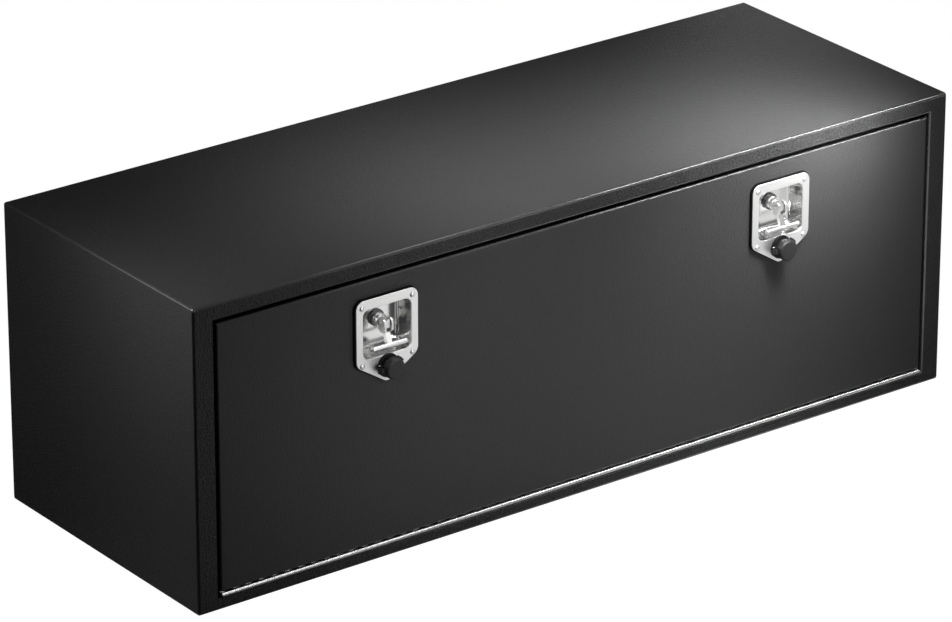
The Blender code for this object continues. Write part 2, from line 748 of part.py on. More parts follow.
def spindle(side, x, material, body):
    """The shaft that the handle turns: grooved head, tongue for the pin, square and thread."""
    centre = (x, SPINDLE_HEIGHT)
    head_end = BUSH_FRONT - TOUCH_GAP
    groove = (SPINDLE_FRONT + head_end) / 2
    rim = SPINDLE_HEAD_RADIUS - SPINDLE_GROOVE
    profile = [
        (0, SPINDLE_FRONT),
        (rim, SPINDLE_FRONT),
        (SPINDLE_HEAD_RADIUS, SPINDLE_FRONT + SPINDLE_GROOVE),
        (SPINDLE_HEAD_RADIUS, groove - SPINDLE_GROOVE),
        (rim, groove),
        (SPINDLE_HEAD_RADIUS, groove + SPINDLE_GROOVE),
        (SPINDLE_HEAD_RADIUS, head_end),
        (SPINDLE_RADIUS, head_end),
        (SPINDLE_RADIUS, CAM_FRONT - TOUCH_GAP),
        (0, CAM_FRONT - TOUCH_GAP),
    ]
    shaft = piece(
        f"{side}_spindle", turned(profile, "Y", centre, ROUND_STEPS), material, body
    )
    half = SPINDLE_SQUARE / 2
    square = rectangle(
        x - half, x + half, SPINDLE_HEIGHT - half, SPINDLE_HEIGHT + half
    )
    overlap = CAM_FRONT - CUT_OVERRUN
    join(shaft, prism(square, "Y", overlap, CAM_REAR))
    join(shaft, rod("Y", centre, THREAD_RADIUS, overlap, CAM_REAR + THREAD_LENGTH))

    quarter = HALF_TURN / 2
    nose = arc(
        (PIN_DEPTH, SPINDLE_HEIGHT), TONGUE_RADIUS, quarter, 3 * quarter, 2 * CORNER_STEPS
    )
    heel = SPINDLE_FRONT + CUT_OVERRUN
    nose += [
        (heel, SPINDLE_HEIGHT - TONGUE_RADIUS),
        (heel, SPINDLE_HEIGHT + TONGUE_RADIUS),
    ]
    half_tongue = TONGUE_WIDTH / 2
    join(shaft, prism(nose, "X", x - half_tongue, x + half_tongue))
    cut(shaft, pin_hole(x, TONGUE_WIDTH))


def pin_hole(x, width):
    """A cutter for the handle's pin through a piece of the given width."""
    reach = width / 2 + CUT_OVERRUN
    radius = HANDLE_PIN_RADIUS + 2 * TOUCH_GAP
    return rod("X", (PIN_DEPTH, SPINDLE_HEIGHT), radius, x - reach, x + reach)


def t_handle(side, x, material, body):
    """The folding handle: a fork round the pin, a cranked stem and a cross bar."""
    quarter = HALF_TURN / 2
    foot = SPINDLE_HEIGHT - FORK_LENGTH
    half_stem = STEM_THICKNESS / 2
    outline = arc((PIN_DEPTH, SPINDLE_HEIGHT), FORK_RADIUS, 0, HALF_TURN, 2 * CORNER_STEPS)
    outline += [(PIN_DEPTH - FORK_RADIUS, foot + FORK_RADIUS / 2)]
    outline += [(PIN_DEPTH - half_stem, foot), (PIN_DEPTH + half_stem, foot)]
    outline += [(PIN_DEPTH + FORK_RADIUS, foot + FORK_RADIUS / 2)]
    fork = prism(outline, "X", x - FORK_RADIUS, x + FORK_RADIUS)
    handle = piece(f"{side}_t_handle", fork, material, body)

    top = (foot + SPINDLE_HEIGHT - FORK_SLOT_DEPTH) / 2
    bar_height = SPINDLE_HEIGHT - HANDLE_DROP
    stem = [
        (PIN_DEPTH - half_stem, top),
        (HANDLE_BAR_DEPTH - half_stem, bar_height),
        (HANDLE_BAR_DEPTH + half_stem, bar_height),
        (PIN_DEPTH + half_stem, top),
    ]
    join(handle, prism(stem, "X", x - STEM_WIDTH / 2, x + STEM_WIDTH / 2))

    half_bar = HANDLE_BAR_LENGTH / 2
    ends = [
        (HANDLE_BAR_RADIUS * math.sin(angle), HANDLE_BAR_RADIUS * (1 - math.cos(angle)))
        for angle in (step * quarter / CORNER_STEPS for step in range(CORNER_STEPS + 1))
    ]
    profile = [(radius, x - half_bar + inset) for radius, inset in ends]
    profile += [(radius, x + half_bar - inset) for radius, inset in reversed(ends)]
    join(handle, turned(profile, "X", (HANDLE_BAR_DEPTH, bar_height), ROUND_STEPS))

    slot = rectangle(
        PIN_DEPTH - FORK_WIDTH,
        PIN_DEPTH + FORK_WIDTH,
        SPINDLE_HEIGHT - FORK_SLOT_DEPTH,
        SPINDLE_HEIGHT + FORK_WIDTH,
    )
    cut(handle, prism(slot, "X", x - FORK_SLOT / 2, x + FORK_SLOT / 2))
    cut(handle, pin_hole(x, FORK_WIDTH))


def handle_pin(side, x, material, body):
    """The riveted pin that joins the fork to the spindle's tongue."""
    face = FORK_RADIUS + TOUCH_GAP
    end = face + HANDLE_PIN_HEAD
    profile = [
        (0, x - end),
        (HANDLE_PIN_HEAD_RADIUS, x - end),
        (HANDLE_PIN_HEAD_RADIUS, x - face),
        (HANDLE_PIN_RADIUS, x - face),
        (HANDLE_PIN_RADIUS, x + face),
        (HANDLE_PIN_HEAD_RADIUS, x + face),
        (HANDLE_PIN_HEAD_RADIUS, x + end),
        (0, x + end),
    ]
    shape = turned(profile, "X", (PIN_DEPTH, SPINDLE_HEIGHT), SMALL_STEPS)
    piece(f"{side}_handle_pin", shape, material, body)


def latch_cam(side, x, material, body):
    """The arm on the spindle's square that reaches behind the header's seal lip."""
    half = CAM_WIDTH / 2
    low, high = SPINDLE_HEIGHT - half, SPINDLE_HEIGHT + half
    outline = filleted(
        [
            (x - CAM_TAIL, low, half / 2),
            (x + CAM_REACH, low, CAM_TIP_RADIUS),
            (x + CAM_REACH, high, CAM_TIP_RADIUS),
            (x - CAM_TAIL, high, half / 2),
        ]
    )
    cam = piece(
        f"{side}_latch_cam", prism(outline, "Y", CAM_FRONT, CAM_REAR), material, body
    )
    hole = SPINDLE_SQUARE / 2 + TOUCH_GAP
    square = rectangle(
        x - hole, x + hole, SPINDLE_HEIGHT - hole, SPINDLE_HEIGHT + hole
    )
    cut(cam, prism(square, "Y", CAM_FRONT - CUT_OVERRUN, CAM_REAR + CUT_OVERRUN))


def nut(name, centre, across_flats, low, height, bore, material, body):
    """A hexagonal nut round a bore."""
    shape = prism(hexagon(centre, across_flats), "Y", low, low + height)
    made = piece(name, shape, material, body)
    cut(
        made,
        rod("Y", centre, bore, low - CUT_OVERRUN, low + height + CUT_OVERRUN, ROUND_STEPS),
    )


def lock_barrel(side, x, material, door):
    """The lock's housing, with its head in front of the plate."""
    bore = PLUG_RADIUS + TOUCH_GAP
    seat = PLATE_FRONT - TOUCH_GAP
    profile = [
        (bore, LOCK_FRONT),
        (LOCK_HEAD_RADIUS - TOUCH_GAP, LOCK_FRONT),
        (LOCK_HEAD_RADIUS, LOCK_FRONT + TOUCH_GAP),
        (LOCK_HEAD_RADIUS, seat),
        (LOCK_BODY_RADIUS, seat),
        (LOCK_BODY_RADIUS, LOCK_REAR),
        (bore, LOCK_REAR),
    ]
    shape = turned(profile, "Y", (x, LOCK_HEIGHT), ROUND_STEPS, closed=True)
    piece(f"{side}_lock_barrel", shape, material, door)


def lock_plug(side, x, material, body):
    """The keyed plug that turns in the barrel, with a peened stud behind for the tail."""
    front = LOCK_FRONT + PLUG_SET_BACK
    shoulder = LOCK_REAR + TOUCH_GAP
    head = shoulder + TAIL_THICKNESS + 2 * TOUCH_GAP
    profile = [
        (0, front),
        (PLUG_RADIUS, front),
        (PLUG_RADIUS, shoulder),
        (PLUG_STUD_RADIUS, shoulder),
        (PLUG_STUD_RADIUS, head),
        (PLUG_STUD_HEAD_RADIUS, head),
        (PLUG_STUD_HEAD_RADIUS, head + PLUG_STUD_HEAD),
        (0, head + PLUG_STUD_HEAD),
    ]
    shape = turned(profile, "Y", (x, LOCK_HEIGHT), ROUND_STEPS)
    plug = piece(f"{side}_lock_plug", shape, material, body)
    wide, tall = KEY_SLOT_WIDTH / 2, KEY_SLOT_HEIGHT / 2
    slot = rectangle(x - wide, x + wide, LOCK_HEIGHT - tall, LOCK_HEIGHT + tall)
    cut(plug, prism(slot, "Y", front - CUT_OVERRUN, front + KEY_SLOT_DEPTH))


def lock_tail(side, x, material, body):
    """The bar behind the plug that turns up to block the spindle."""
    half = TAIL_WIDTH / 2
    outline = rectangle(
        x - half, x + TAIL_LENGTH, LOCK_HEIGHT - half, LOCK_HEIGHT + half, half / 2
    )
    low = LOCK_REAR + 2 * TOUCH_GAP
    high = low + TAIL_THICKNESS
    tail = piece(f"{side}_lock_tail", prism(outline, "Y", low, high), material, body)
    hole = PLUG_STUD_RADIUS + 2 * TOUCH_GAP
    cut(tail, rod("Y", (x, LOCK_HEIGHT), hole, low - CUT_OVERRUN, high + CUT_OVERRUN))


def cover_pin_hole(x, reach):
    """A cutter for the cover's hinge pin."""
    centre = (x - COVER_PIN_OFFSET, COVER_PIN_DEPTH)
    low, high = LOCK_HEIGHT - reach - CUT_OVERRUN, LOCK_HEIGHT + reach + CUT_OVERRUN
    return rod("Z", centre, COVER_PIN_RADIUS + 2 * TOUCH_GAP, low, high)


def cover_collar(side, x, material, door):
    """The plastic ring round the lock's head, with two ears for the cover's pin."""
    seat = PLATE_FRONT - TOUCH_GAP
    shape = turned(
        [(COLLAR_RADIUS, COLLAR_FRONT), (COLLAR_RADIUS, seat)],
        "Y",
        (x, LOCK_HEIGHT),
        FINE_STEPS,
    )
    collar = piece(f"{side}_cover_collar", shape, material, door)
    hinge_x = x - COVER_PIN_OFFSET
    ear = filleted(
        [
            (hinge_x - COVER_EAR_RADIUS, COVER_PIN_DEPTH - COVER_EAR_RADIUS, COVER_EAR_RADIUS),
            (x - LOCK_HEAD_RADIUS, COVER_PIN_DEPTH - COVER_EAR_RADIUS, 0),
            (x - LOCK_HEAD_RADIUS, COVER_PIN_DEPTH + COVER_EAR_RADIUS, 0),
            (hinge_x - COVER_EAR_RADIUS, COVER_PIN_DEPTH + COVER_EAR_RADIUS, COVER_EAR_RADIUS),
        ]
    )
    near = COVER_TAB_WIDTH / 2 + TOUCH_GAP
    far = near + COVER_EAR_THICKNESS
    join(
        collar,
        prism(ear, "Z", LOCK_HEIGHT - far, LOCK_HEIGHT - near),
        prism(ear, "Z", LOCK_HEIGHT + near, LOCK_HEIGHT + far),
    )
    bore = LOCK_HEAD_RADIUS + 2 * TOUCH_GAP
    low, high = COLLAR_FRONT - CUT_OVERRUN, seat + CUT_OVERRUN
    cut(collar, rod("Y", (x, LOCK_HEIGHT), bore, low, high, FINE_STEPS))
    cut(collar, cover_pin_hole(x, far))


def lock_cover(side, x, material, body):
    """The cap over the lock, with a tab round the pin and a thumb lug."""
    centre = (x, LOCK_HEIGHT)
    roof = COVER_FRONT + COVER_ROOF
    profile = [
        (0, COVER_FRONT - COVER_DOME),
        (COVER_RADIUS - COVER_CHAMFER, COVER_FRONT),
        (COVER_RADIUS - COVER_CHAMFER / 4, COVER_FRONT + COVER_CHAMFER / 3),
        (COVER_RADIUS, COVER_FRONT + COVER_CHAMFER),
        (COVER_RADIUS, COVER_REAR),
        (COVER_HOLLOW_RADIUS, COVER_REAR),
        (COVER_HOLLOW_RADIUS, roof),
        (0, roof),
    ]
    cover = piece(
        f"{side}_lock_cover", turned(profile, "Y", centre, FINE_STEPS), material, body
    )
    hinge_x = x - COVER_PIN_OFFSET
    wall = x - (COVER_RADIUS + COVER_HOLLOW_RADIUS) / 2
    front = COVER_FRONT + COVER_CHAMFER + COVER_DEPTH / 3
    outline = filleted(
        [
            (hinge_x - COVER_EAR_RADIUS, front, COVER_EAR_RADIUS),
            (wall, front, 0),
            (wall, COVER_PIN_DEPTH + COVER_EAR_RADIUS, 0),
            (hinge_x - COVER_EAR_RADIUS, COVER_PIN_DEPTH + COVER_EAR_RADIUS, COVER_EAR_RADIUS),
        ]
    )
    half = COVER_TAB_WIDTH / 2
    join(cover, prism(outline, "Z", LOCK_HEIGHT - half, LOCK_HEIGHT + half))
    start = COVER_LUG_DIRECTION - COVER_LUG_SWEEP / 2
    end = COVER_LUG_DIRECTION + COVER_LUG_SWEEP / 2
    inner = (COVER_RADIUS + COVER_HOLLOW_RADIUS) / 2
    lug = arc(centre, COVER_RADIUS + COVER_LUG_REACH, start, end, CORNER_STEPS)
    lug += arc(centre, inner, end, start, CORNER_STEPS)
    join(cover, prism(lug, "Y", COVER_REAR - COVER_LUG_DEPTH, COVER_REAR - TOUCH_GAP))
    cut(cover, cover_pin_hole(x, half))


def cover_pin(side, x, material, door):
    """The vertical pin of the flip cover."""
    reach = COVER_TAB_WIDTH / 2 + TOUCH_GAP + COVER_EAR_THICKNESS + COVER_PIN_PROUD
    centre = (x - COVER_PIN_OFFSET, COVER_PIN_DEPTH)
    shape = rod("Z", centre, COVER_PIN_RADIUS, LOCK_HEIGHT - reach, LOCK_HEIGHT + reach)
    piece(f"{side}_cover_pin", shape, material, door)


def latch(side, x, metals, panel, door):
    """One whole latch: pan, handle mechanism, lock and flip cover."""
    spindle_place = (x, PLATE_FRONT, SPINDLE_HEIGHT)
    turning = carrier(f"{side}_spindle_body", spindle_place, door)
    folding = carrier(f"{side}_handle_body", (x, PIN_DEPTH, SPINDLE_HEIGHT), turning)
    keyed = carrier(f"{side}_lock_body", (x, PLATE_FRONT, LOCK_HEIGHT), door)
    flip_place = (x - COVER_PIN_OFFSET, COVER_PIN_DEPTH, LOCK_HEIGHT)
    flipping = carrier(f"{side}_cover_body", flip_place, door)

    door_cutouts(panel, x)
    latch_pan(side, x, metals["stainless"], door)
    latch_gasket(side, x, metals["rubber"], door)
    latch_rivets(side, x, metals["stainless"], door)
    spindle_bush(side, x, metals["stainless"], door)
    spindle(side, x, metals["stainless"], turning)
    latch_cam(side, x, metals["zinc"], turning)
    nut(
        f"{side}_cam_nut",
        (x, SPINDLE_HEIGHT),
        NUT_ACROSS_FLATS,
        CAM_REAR + TOUCH_GAP,
        NUT_HEIGHT,
        THREAD_RADIUS + 2 * TOUCH_GAP,
        metals["zinc"],
        turning,
    )
    t_handle(side, x, metals["stainless"], folding)
    handle_pin(side, x, metals["stainless"], folding)
    lock_barrel(side, x, metals["zinc"], door)
    nut(
        f"{side}_lock_nut",
        (x, LOCK_HEIGHT),
        LOCK_NUT_ACROSS_FLATS,
        FRONT + SHEET + TOUCH_GAP,
        LOCK_NUT_HEIGHT,
        LOCK_BODY_RADIUS + 2 * TOUCH_GAP,
        metals["zinc"],
        door,
    )
    lock_plug(side, x, metals["brass"], keyed)
    lock_tail(side, x, metals["zinc"], keyed)
    cover_collar(side, x, metals["plastic"], door)
    lock_cover(side, x, metals["plastic"], flipping)
    cover_pin(side, x, metals["stainless"], door)


def main():
    for old in list(bpy.data.objects):
        bpy.data.objects.remove(old, do_unlink=True)
    metals = finishes()
    root = carrier("cabinet_body", (0, 0, 0))
    door = carrier("door_body", (0, FRONT, HINGE_HEIGHT), root)

    body_wrap(metals["powder"], root)
    end_panel("left_end_panel", -1, metals["powder"], root)
    end_panel("right_end_panel", 1, metals["powder"], root)
    front_frame(metals["powder"], root)
    door_seal(metals["rubber"], root)
    hinge(metals, root, door)
    panel = door_panel(metals["powder"], door)
    door_stiffener(metals["powder"], door)
    for side, x in LATCH_SIDES.items():
        latch(side, x, metals, panel, door)


main()
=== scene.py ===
"""Underbody truck tool box: the fine surfaces, finishes, studio and camera.

Metres, +Z up. The door is in front, at -Y. Every piece lies in world coordinates and
rides on the body that carries it.
"""

import logging
import math
from collections.abc import Sequence
from dataclasses import dataclass, field
from enum import Enum

import bmesh
import bpy
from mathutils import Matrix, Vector
from mathutils.geometry import tessellate_polygon


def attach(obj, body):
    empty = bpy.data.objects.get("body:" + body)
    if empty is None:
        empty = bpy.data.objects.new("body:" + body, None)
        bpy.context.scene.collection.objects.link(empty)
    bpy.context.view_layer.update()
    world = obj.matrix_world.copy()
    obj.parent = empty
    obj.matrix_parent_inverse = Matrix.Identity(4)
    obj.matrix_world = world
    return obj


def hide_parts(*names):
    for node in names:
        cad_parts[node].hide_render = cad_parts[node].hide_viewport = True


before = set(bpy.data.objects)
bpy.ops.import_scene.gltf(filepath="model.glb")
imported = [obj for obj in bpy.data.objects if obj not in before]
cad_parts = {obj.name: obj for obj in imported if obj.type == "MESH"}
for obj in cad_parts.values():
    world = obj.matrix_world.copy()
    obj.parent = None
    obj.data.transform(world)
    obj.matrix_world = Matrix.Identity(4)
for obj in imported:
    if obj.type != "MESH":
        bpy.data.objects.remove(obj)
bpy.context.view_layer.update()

LOG = logging.getLogger("tool_box")
Point = tuple[float, float]
Outline = list[Point]
Ring = list[Vector]
Colour = tuple[float, float, float]
Shape = bmesh.types.BMesh
Socket = bpy.types.NodeSocket

QUARTER = math.pi / 2
HALF = math.pi
TURN = 2 * math.pi
CREASE = math.radians(32)
MERGE = 1e-7
SEAT = 0.0003
OVERRUN = 0.002
FLAT_NORMAL = 0.9995
LEVEL_NORMAL = 0.05
WHITE = (1.0, 1.0, 1.0, 1.0)
BEND = "bend"
LATCH_X = 0.320


class Axis(Enum):
    """The world axis that an outline is square to."""

    X = 0
    Y = 1
    Z = 2


class Cut(Enum):
    """What a Boolean does with its tool."""

    TAKE = "DIFFERENCE"
    ADD = "UNION"


class Mark(Enum):
    """What a face of coated sheet is, as the value of its attribute."""

    # Faces with this value get painted shade: the powder coat darkens their colour.
    SHADE = -1.0
    PLAIN = 0.0
    BEND = 1.0
    SIDE_BEND = 2.0


# Shapes


def arc(centre: Point, radius: float, start: float, end: float, steps: int) -> Outline:
    """Points of an arc with both ends.

    Args:
        centre: Middle of the arc.
        radius: Its radius.
        start: First angle.
        end: Last angle.
        steps: Number of chords.

    Returns:
        The points in order.
    """
    angles = (start + (end - start) * step / steps for step in range(steps + 1))
    return [
        (centre[0] + radius * math.cos(a), centre[1] + radius * math.sin(a)) for a in angles
    ]


def circle(centre: Point, radius: float, steps: int) -> Outline:
    """A circle's outline."""
    return arc(centre, radius, 0, TURN, steps)[:-1]


def round_over(steps: int) -> list[Point]:
    """A quarter circle of radius 1 as points out from its crest and back from it."""
    angles = [QUARTER * step / steps for step in range(steps + 1)]
    return [(math.sin(a), 1 - math.cos(a)) for a in angles]


def filleted(corners: Sequence[tuple[float, float, float]], steps: int) -> Outline:
    """An outline whose corners are rounded.

    Args:
        corners: Each corner as across, up and radius.
        steps: Chords in each rounding.

    Returns:
        The outline in the order of its corners.
    """
    outline: Outline = []
    for index, (across, up, radius) in enumerate(corners):
        here = Vector((across, up))
        if radius <= 0:
            outline.append(tuple(here))
            continue
        before = (Vector(corners[index - 1][:2]) - here).normalized()
        after = (Vector(corners[(index + 1) % len(corners)][:2]) - here).normalized()
        half = before.angle(after) / 2
        centre = here + (before + after).normalized() * (radius / math.sin(half))
        first = here + before * (radius / math.tan(half)) - centre
        last = here + after * (radius / math.tan(half)) - centre
        start = math.atan2(first.y, first.x)
        outline += arc(tuple(centre), radius, start, start - first.angle_signed(last), steps)
    return [p for i, p in enumerate(outline) if math.dist(p, outline[i - 1]) > SEAT / 10]


def rectangle(
    left: float, right: float, low: float, high: float, radius: float = 0, steps: int = 6
) -> Outline:
    """A rectangle's outline with rounded corners, counter-clockwise."""
    corners = [(left, low), (right, low), (right, high), (left, high)]
    return filleted([(*corner, radius) for corner in corners], steps)


def lay(outline: Outline, axis: Axis, place: float) -> Ring:
    """A flat outline in space, square to an axis at a place along it."""
    cut = axis.value
    return [Vector((*point[:cut], place, *point[cut:])) for point in outline]


def pushed(outline: Outline, axis: Axis, low: float, high: float) -> list[Ring]:
    """An outline at two places along an axis."""
    return [lay(outline, axis, low), lay(outline, axis, high)]


def weave(
    shape: Shape, rings: Sequence[Ring], closed: bool = False
) -> list[list[bmesh.types.BMVert]]:
    """Joins rings of equally many points by faces.

    Args:
        shape: The mesh that gets the faces.
        rings: The rings in order. A ring of one point is a pole.
        closed: Whether the last ring joins the first.

    Returns:
        The rows of vertices.
    """
    rows = [[shape.verts.new(point) for point in ring] for ring in rings]
    pairs = list(zip(rows, rows[1:])) + ([(rows[-1], rows[0])] if closed else [])
    for near, far in pairs:
        count = max(len(near), len(far))
        for index in range(count):
            after = (index + 1) % count
            corners = [near[index % len(near)], near[after % len(near)]]
            corners += [far[after % len(far)], far[index % len(far)]]
            shape.faces.new(dict.fromkeys(corners))
    return rows


def outward(shape: Shape) -> Shape:
    """Turns every face of a closed mesh outwards."""
    bmesh.ops.recalc_face_normals(shape, faces=shape.faces)
    return shape


def skin(rings: Sequence[Ring], closed: bool = False) -> Shape:
    """A closed mesh through rings.

    Args:
        rings: The rings in order.
        closed: Whether the last ring joins the first. The ends are flat if not.

    Returns:
        The mesh.
    """
    shape = bmesh.new()
    rows = weave(shape, rings, closed)
    for row in () if closed else (rows[0], rows[-1]):
        if len(row) > 1:
            shape.faces.new(row)
    return outward(shape)


def walled(outer: Sequence[Ring], holes: Sequence[Sequence[Ring]]) -> Shape:
    """A sheet with holes, each edge of which runs through rings from front to back.

    Args:
        outer: Rings of the outside edge.
        holes: Rings of each hole's wall.

    Returns:
        The closed sheet.
    """
    shape = bmesh.new()
    edges = [weave(shape, rings) for rings in (outer, *holes)]
    for side in (0, -1):
        loops = [rows[side] for rows in edges]
        verts = [vert for loop in loops for vert in loop]
        for triple in tessellate_polygon([[vert.co for vert in loop] for loop in loops]):
            shape.faces.new([verts[index] for index in triple])
    return outward(shape)


def prism(outline: Outline, axis: Axis, low: float, high: float) -> Shape:
    """An outline pushed along an axis."""
    return skin(pushed(outline, axis, low, high))


def turned(
    profile: Sequence[Point], axis: Axis, centre: Point, steps: int, closed: bool = False
) -> Shape:
    """A profile turned about an axis.

    Args:
        profile: Points as radius and place along the axis.
        axis: The axis of turning.
        centre: Where the axis passes.
        steps: Facets round it.
        closed: Whether the profile closes on itself, as on a ring.

    Returns:
        The closed solid.
    """
    rings = []
    for radius, place in profile:
        outline = circle(centre, radius, steps) if radius else [centre]
        rings.append(lay(outline, axis, place))
    return skin(rings, closed)


def rod(axis: Axis, centre: Point, radius: float, low: float, high: float, steps: int) -> Shape:
    """A plain round bar along an axis."""
    return turned([(radius, low), (radius, high)], axis, centre, steps)


def both_ends(end: Sequence[Point], middle: float) -> list[Point]:
    """A turned profile from its lower end, given from the middle of the bar."""
    low = [(radius, middle + place) for radius, place in end]
    return low + [(radius, middle - place) for radius, place in reversed(end)]


def domed_rod(
    axis: Axis, centre: Point, radius: float, middle: float, length: float,
    rings: int, steps: int,
) -> Shape:
    """A round bar with half a ball at each end.

    Args:
        axis: The axis that it lies along.
        centre: Where the axis passes.
        radius: Its radius.
        middle: Its middle along the axis.
        length: Its length over all.
        rings: Rings in each end.
        steps: Facets round it.

    Returns:
        The bar.
    """
    end = [(radius * out, radius * back - length / 2) for out, back in round_over(rings)]
    return turned(both_ends(end, middle), axis, centre, steps)


def shape_object(name: str, shape: Shape) -> bpy.types.Object:
    """Puts an object in the scene.

    Args:
        name: Its name.
        shape: Its mesh, which is used up.

    Returns:
        The object.
    """
    mesh = bpy.data.meshes.new(name)
    shape.to_mesh(mesh)
    shape.free()
    made = bpy.data.objects.new(name, mesh)
    bpy.context.scene.collection.objects.link(made)
    return made


def apply(made: bpy.types.Object) -> None:
    """Makes an object's modifiers part of its mesh.

    Args:
        made: The object.
    """
    graph = bpy.context.evaluated_depsgraph_get()
    fresh = bpy.data.meshes.new_from_object(made.evaluated_get(graph), depsgraph=graph)
    made.modifiers.clear()
    old, made.data = made.data, fresh
    bpy.data.meshes.remove(old)
    fresh.name = made.name


def discard(made: bpy.types.Object) -> None:
    """Removes an object and its mesh.

    Args:
        made: The object.
    """
    mesh = made.data
    bpy.data.objects.remove(made)
    bpy.data.meshes.remove(mesh)


def carve(target: Shape, operation: Cut, *tools: Shape) -> Shape:
    """Cuts tools from a solid, or adds them to it, one after another.

    Args:
        target: The solid, which is used up.
        operation: What each tool does.
        tools: The tools, which are used up.

    Returns:
        The new solid.
    """
    base = shape_object("carve_base", target)
    helpers = [shape_object(f"carve_tool_{i}", tool) for i, tool in enumerate(tools)]
    for helper in helpers:
        modifier = base.modifiers.new(helper.name, "BOOLEAN")
        modifier.operation = operation.value
        modifier.solver = "EXACT"
        modifier.object = helper
    apply(base)
    result = bmesh.new()
    result.from_mesh(base.data)
    for used in (base, *helpers):
        discard(used)
    return result


# Nodes


@dataclass
class Nodes:
    """A node tree with short ways to add to it."""

    tree: bpy.types.NodeTree

    def feed(self, value: object, slot: Socket) -> None:
        """Links a socket to an input, or sets the input to a plain value.

        Args:
            value: The socket or value.
            slot: The input.
        """
        if isinstance(value, Socket):
            self.tree.links.new(value, slot)
        else:
            slot.default_value = value

    def add(
        self, kind: str, inputs: dict[str | int, object] | None = None, **settings: object
    ) -> bpy.types.Node:
        """Adds a node.

        Args:
            kind: Its type.
            inputs: What each input gets, by name or number.
            settings: The node's own settings.

        Returns:
            The node.
        """
        made = self.tree.nodes.new(kind)
        for key, value in settings.items():
            setattr(made, key, value)
        for key, value in (inputs or {}).items():
            self.feed(value, made.inputs[key])
        return made

    def math(self, operation: str, *values: object, clamp: bool = False) -> Socket:
        """The result of a Math node on sockets or numbers."""
        inputs = dict(enumerate(values))
        return self.add("ShaderNodeMath", inputs, operation=operation, use_clamp=clamp).outputs[0]

    def ramp(
        self, value: Socket, start: float, end: float, low: float = 0.0, high: float = 1.0
    ) -> Socket:
        """A number that goes from low to high as a value goes from start to end."""
        span = {"Value": value, "From Min": start, "From Max": end, "To Min": low, "To Max": high}
        return self.add("ShaderNodeMapRange", span).outputs["Result"]

    def parts(self, vector: Socket) -> list[Socket]:
        """The X, Y and Z of a vector."""
        return list(self.add("ShaderNodeSeparateXYZ", {0: vector}).outputs)

    def vector(self, x: object = 0.0, y: object = 0.0, z: object = 0.0) -> Socket:
        """A vector from sockets or numbers."""
        return self.add("ShaderNodeCombineXYZ", {0: x, 1: y, 2: z}).outputs[0]

    def opens(
        self, name: str, kind: str, way: str = "INPUT"
    ) -> bpy.types.NodeTreeInterfaceSocket:
        """A new named socket on the tree itself."""
        return self.tree.interface.new_socket(name, in_out=way, socket_type=f"NodeSocket{kind}")


@dataclass(frozen=True)
class Noise:
    """One noise of a texture, with its scale as a named input of the group."""

    scale_name: str
    scale: float
    detail: float
    roughness: float
    stretch: tuple[float, float, float] = (1.0, 1.0, 1.0)


@dataclass(frozen=True)
class Texture:
    """Two noises with their shares in the height and in the tone."""

    name: str
    first: Noise
    second: Noise
    height: Point
    tone: Point
    wave_strength: float = 0.0
    wave_depth: float = 0.0006

    def group(self) -> bpy.types.NodeTree:
        """Builds the shader node group.

        Returns:
            The group, from a vector to Height, Tone and Waves, its second noise.
        """
        build = Nodes(bpy.data.node_groups.new(self.name, "ShaderNodeTree"))
        build.opens("Vector", "Vector")
        for noise in (self.first, self.second):
            build.opens(noise.scale_name, "Float").default_value = noise.scale
        source = build.add("NodeGroupInput").outputs
        noises = []
        for noise in (self.first, self.second):
            vector = build.add(
                "ShaderNodeVectorMath", {0: source["Vector"], 1: noise.stretch},
                operation="MULTIPLY",
            )
            pattern = build.add("ShaderNodeTexNoise", {
                "Vector": vector.outputs[0], "Scale": source[noise.scale_name],
                "Detail": noise.detail, "Roughness": noise.roughness,
            })
            noises.append(pattern.outputs["Fac"])
        outputs = {"Waves": noises[1]}
        for name, shares in (("Height", self.height), ("Tone", self.tone)):
            part = build.math("MULTIPLY", noises[0], shares[0])
            outputs[name] = build.math("MULTIPLY_ADD", noises[1], shares[1], part)
        for name in outputs:
            build.opens(name, "Float", "OUTPUT")
        build.add("NodeGroupOutput", outputs)
        return build.tree


class Grain(Enum):
    """The fine structure of a finish."""

    POWDER = Texture(
        "powder texture", Noise("Pebble Scale", 330.0, 2.0, 0.55),
        Noise("Fine Scale", 1000.0, 1.0, 0.5), height=(1.0, 0.35), tone=(1.0, 0.0),
    )
    BRUSHED = Texture(
        "brush strokes", Noise("Stroke Scale", 900.0, 3.0, 0.6, (0.03, 1.0, 1.0)),
        Noise("Waviness Scale", 26.0, 1.0, 0.4), height=(1.0, 0.0), tone=(0.6, 0.4),
        wave_strength=0.35,
    )
    PLATED = Texture(
        "plated mottle", Noise("Mottle Scale", 180.0, 3.0, 0.6),
        Noise("Pit Scale", 1500.0, 1.0, 0.5), height=(0.5, 0.5), tone=(1.0, 0.0),
    )
    MOULDED = Texture(
        "moulded texture", Noise("Spark Scale", 1600.0, 2.0, 0.6),
        Noise("Flow Scale", 60.0, 2.0, 0.5), height=(1.0, 0.0), tone=(0.5, 0.5),
    )


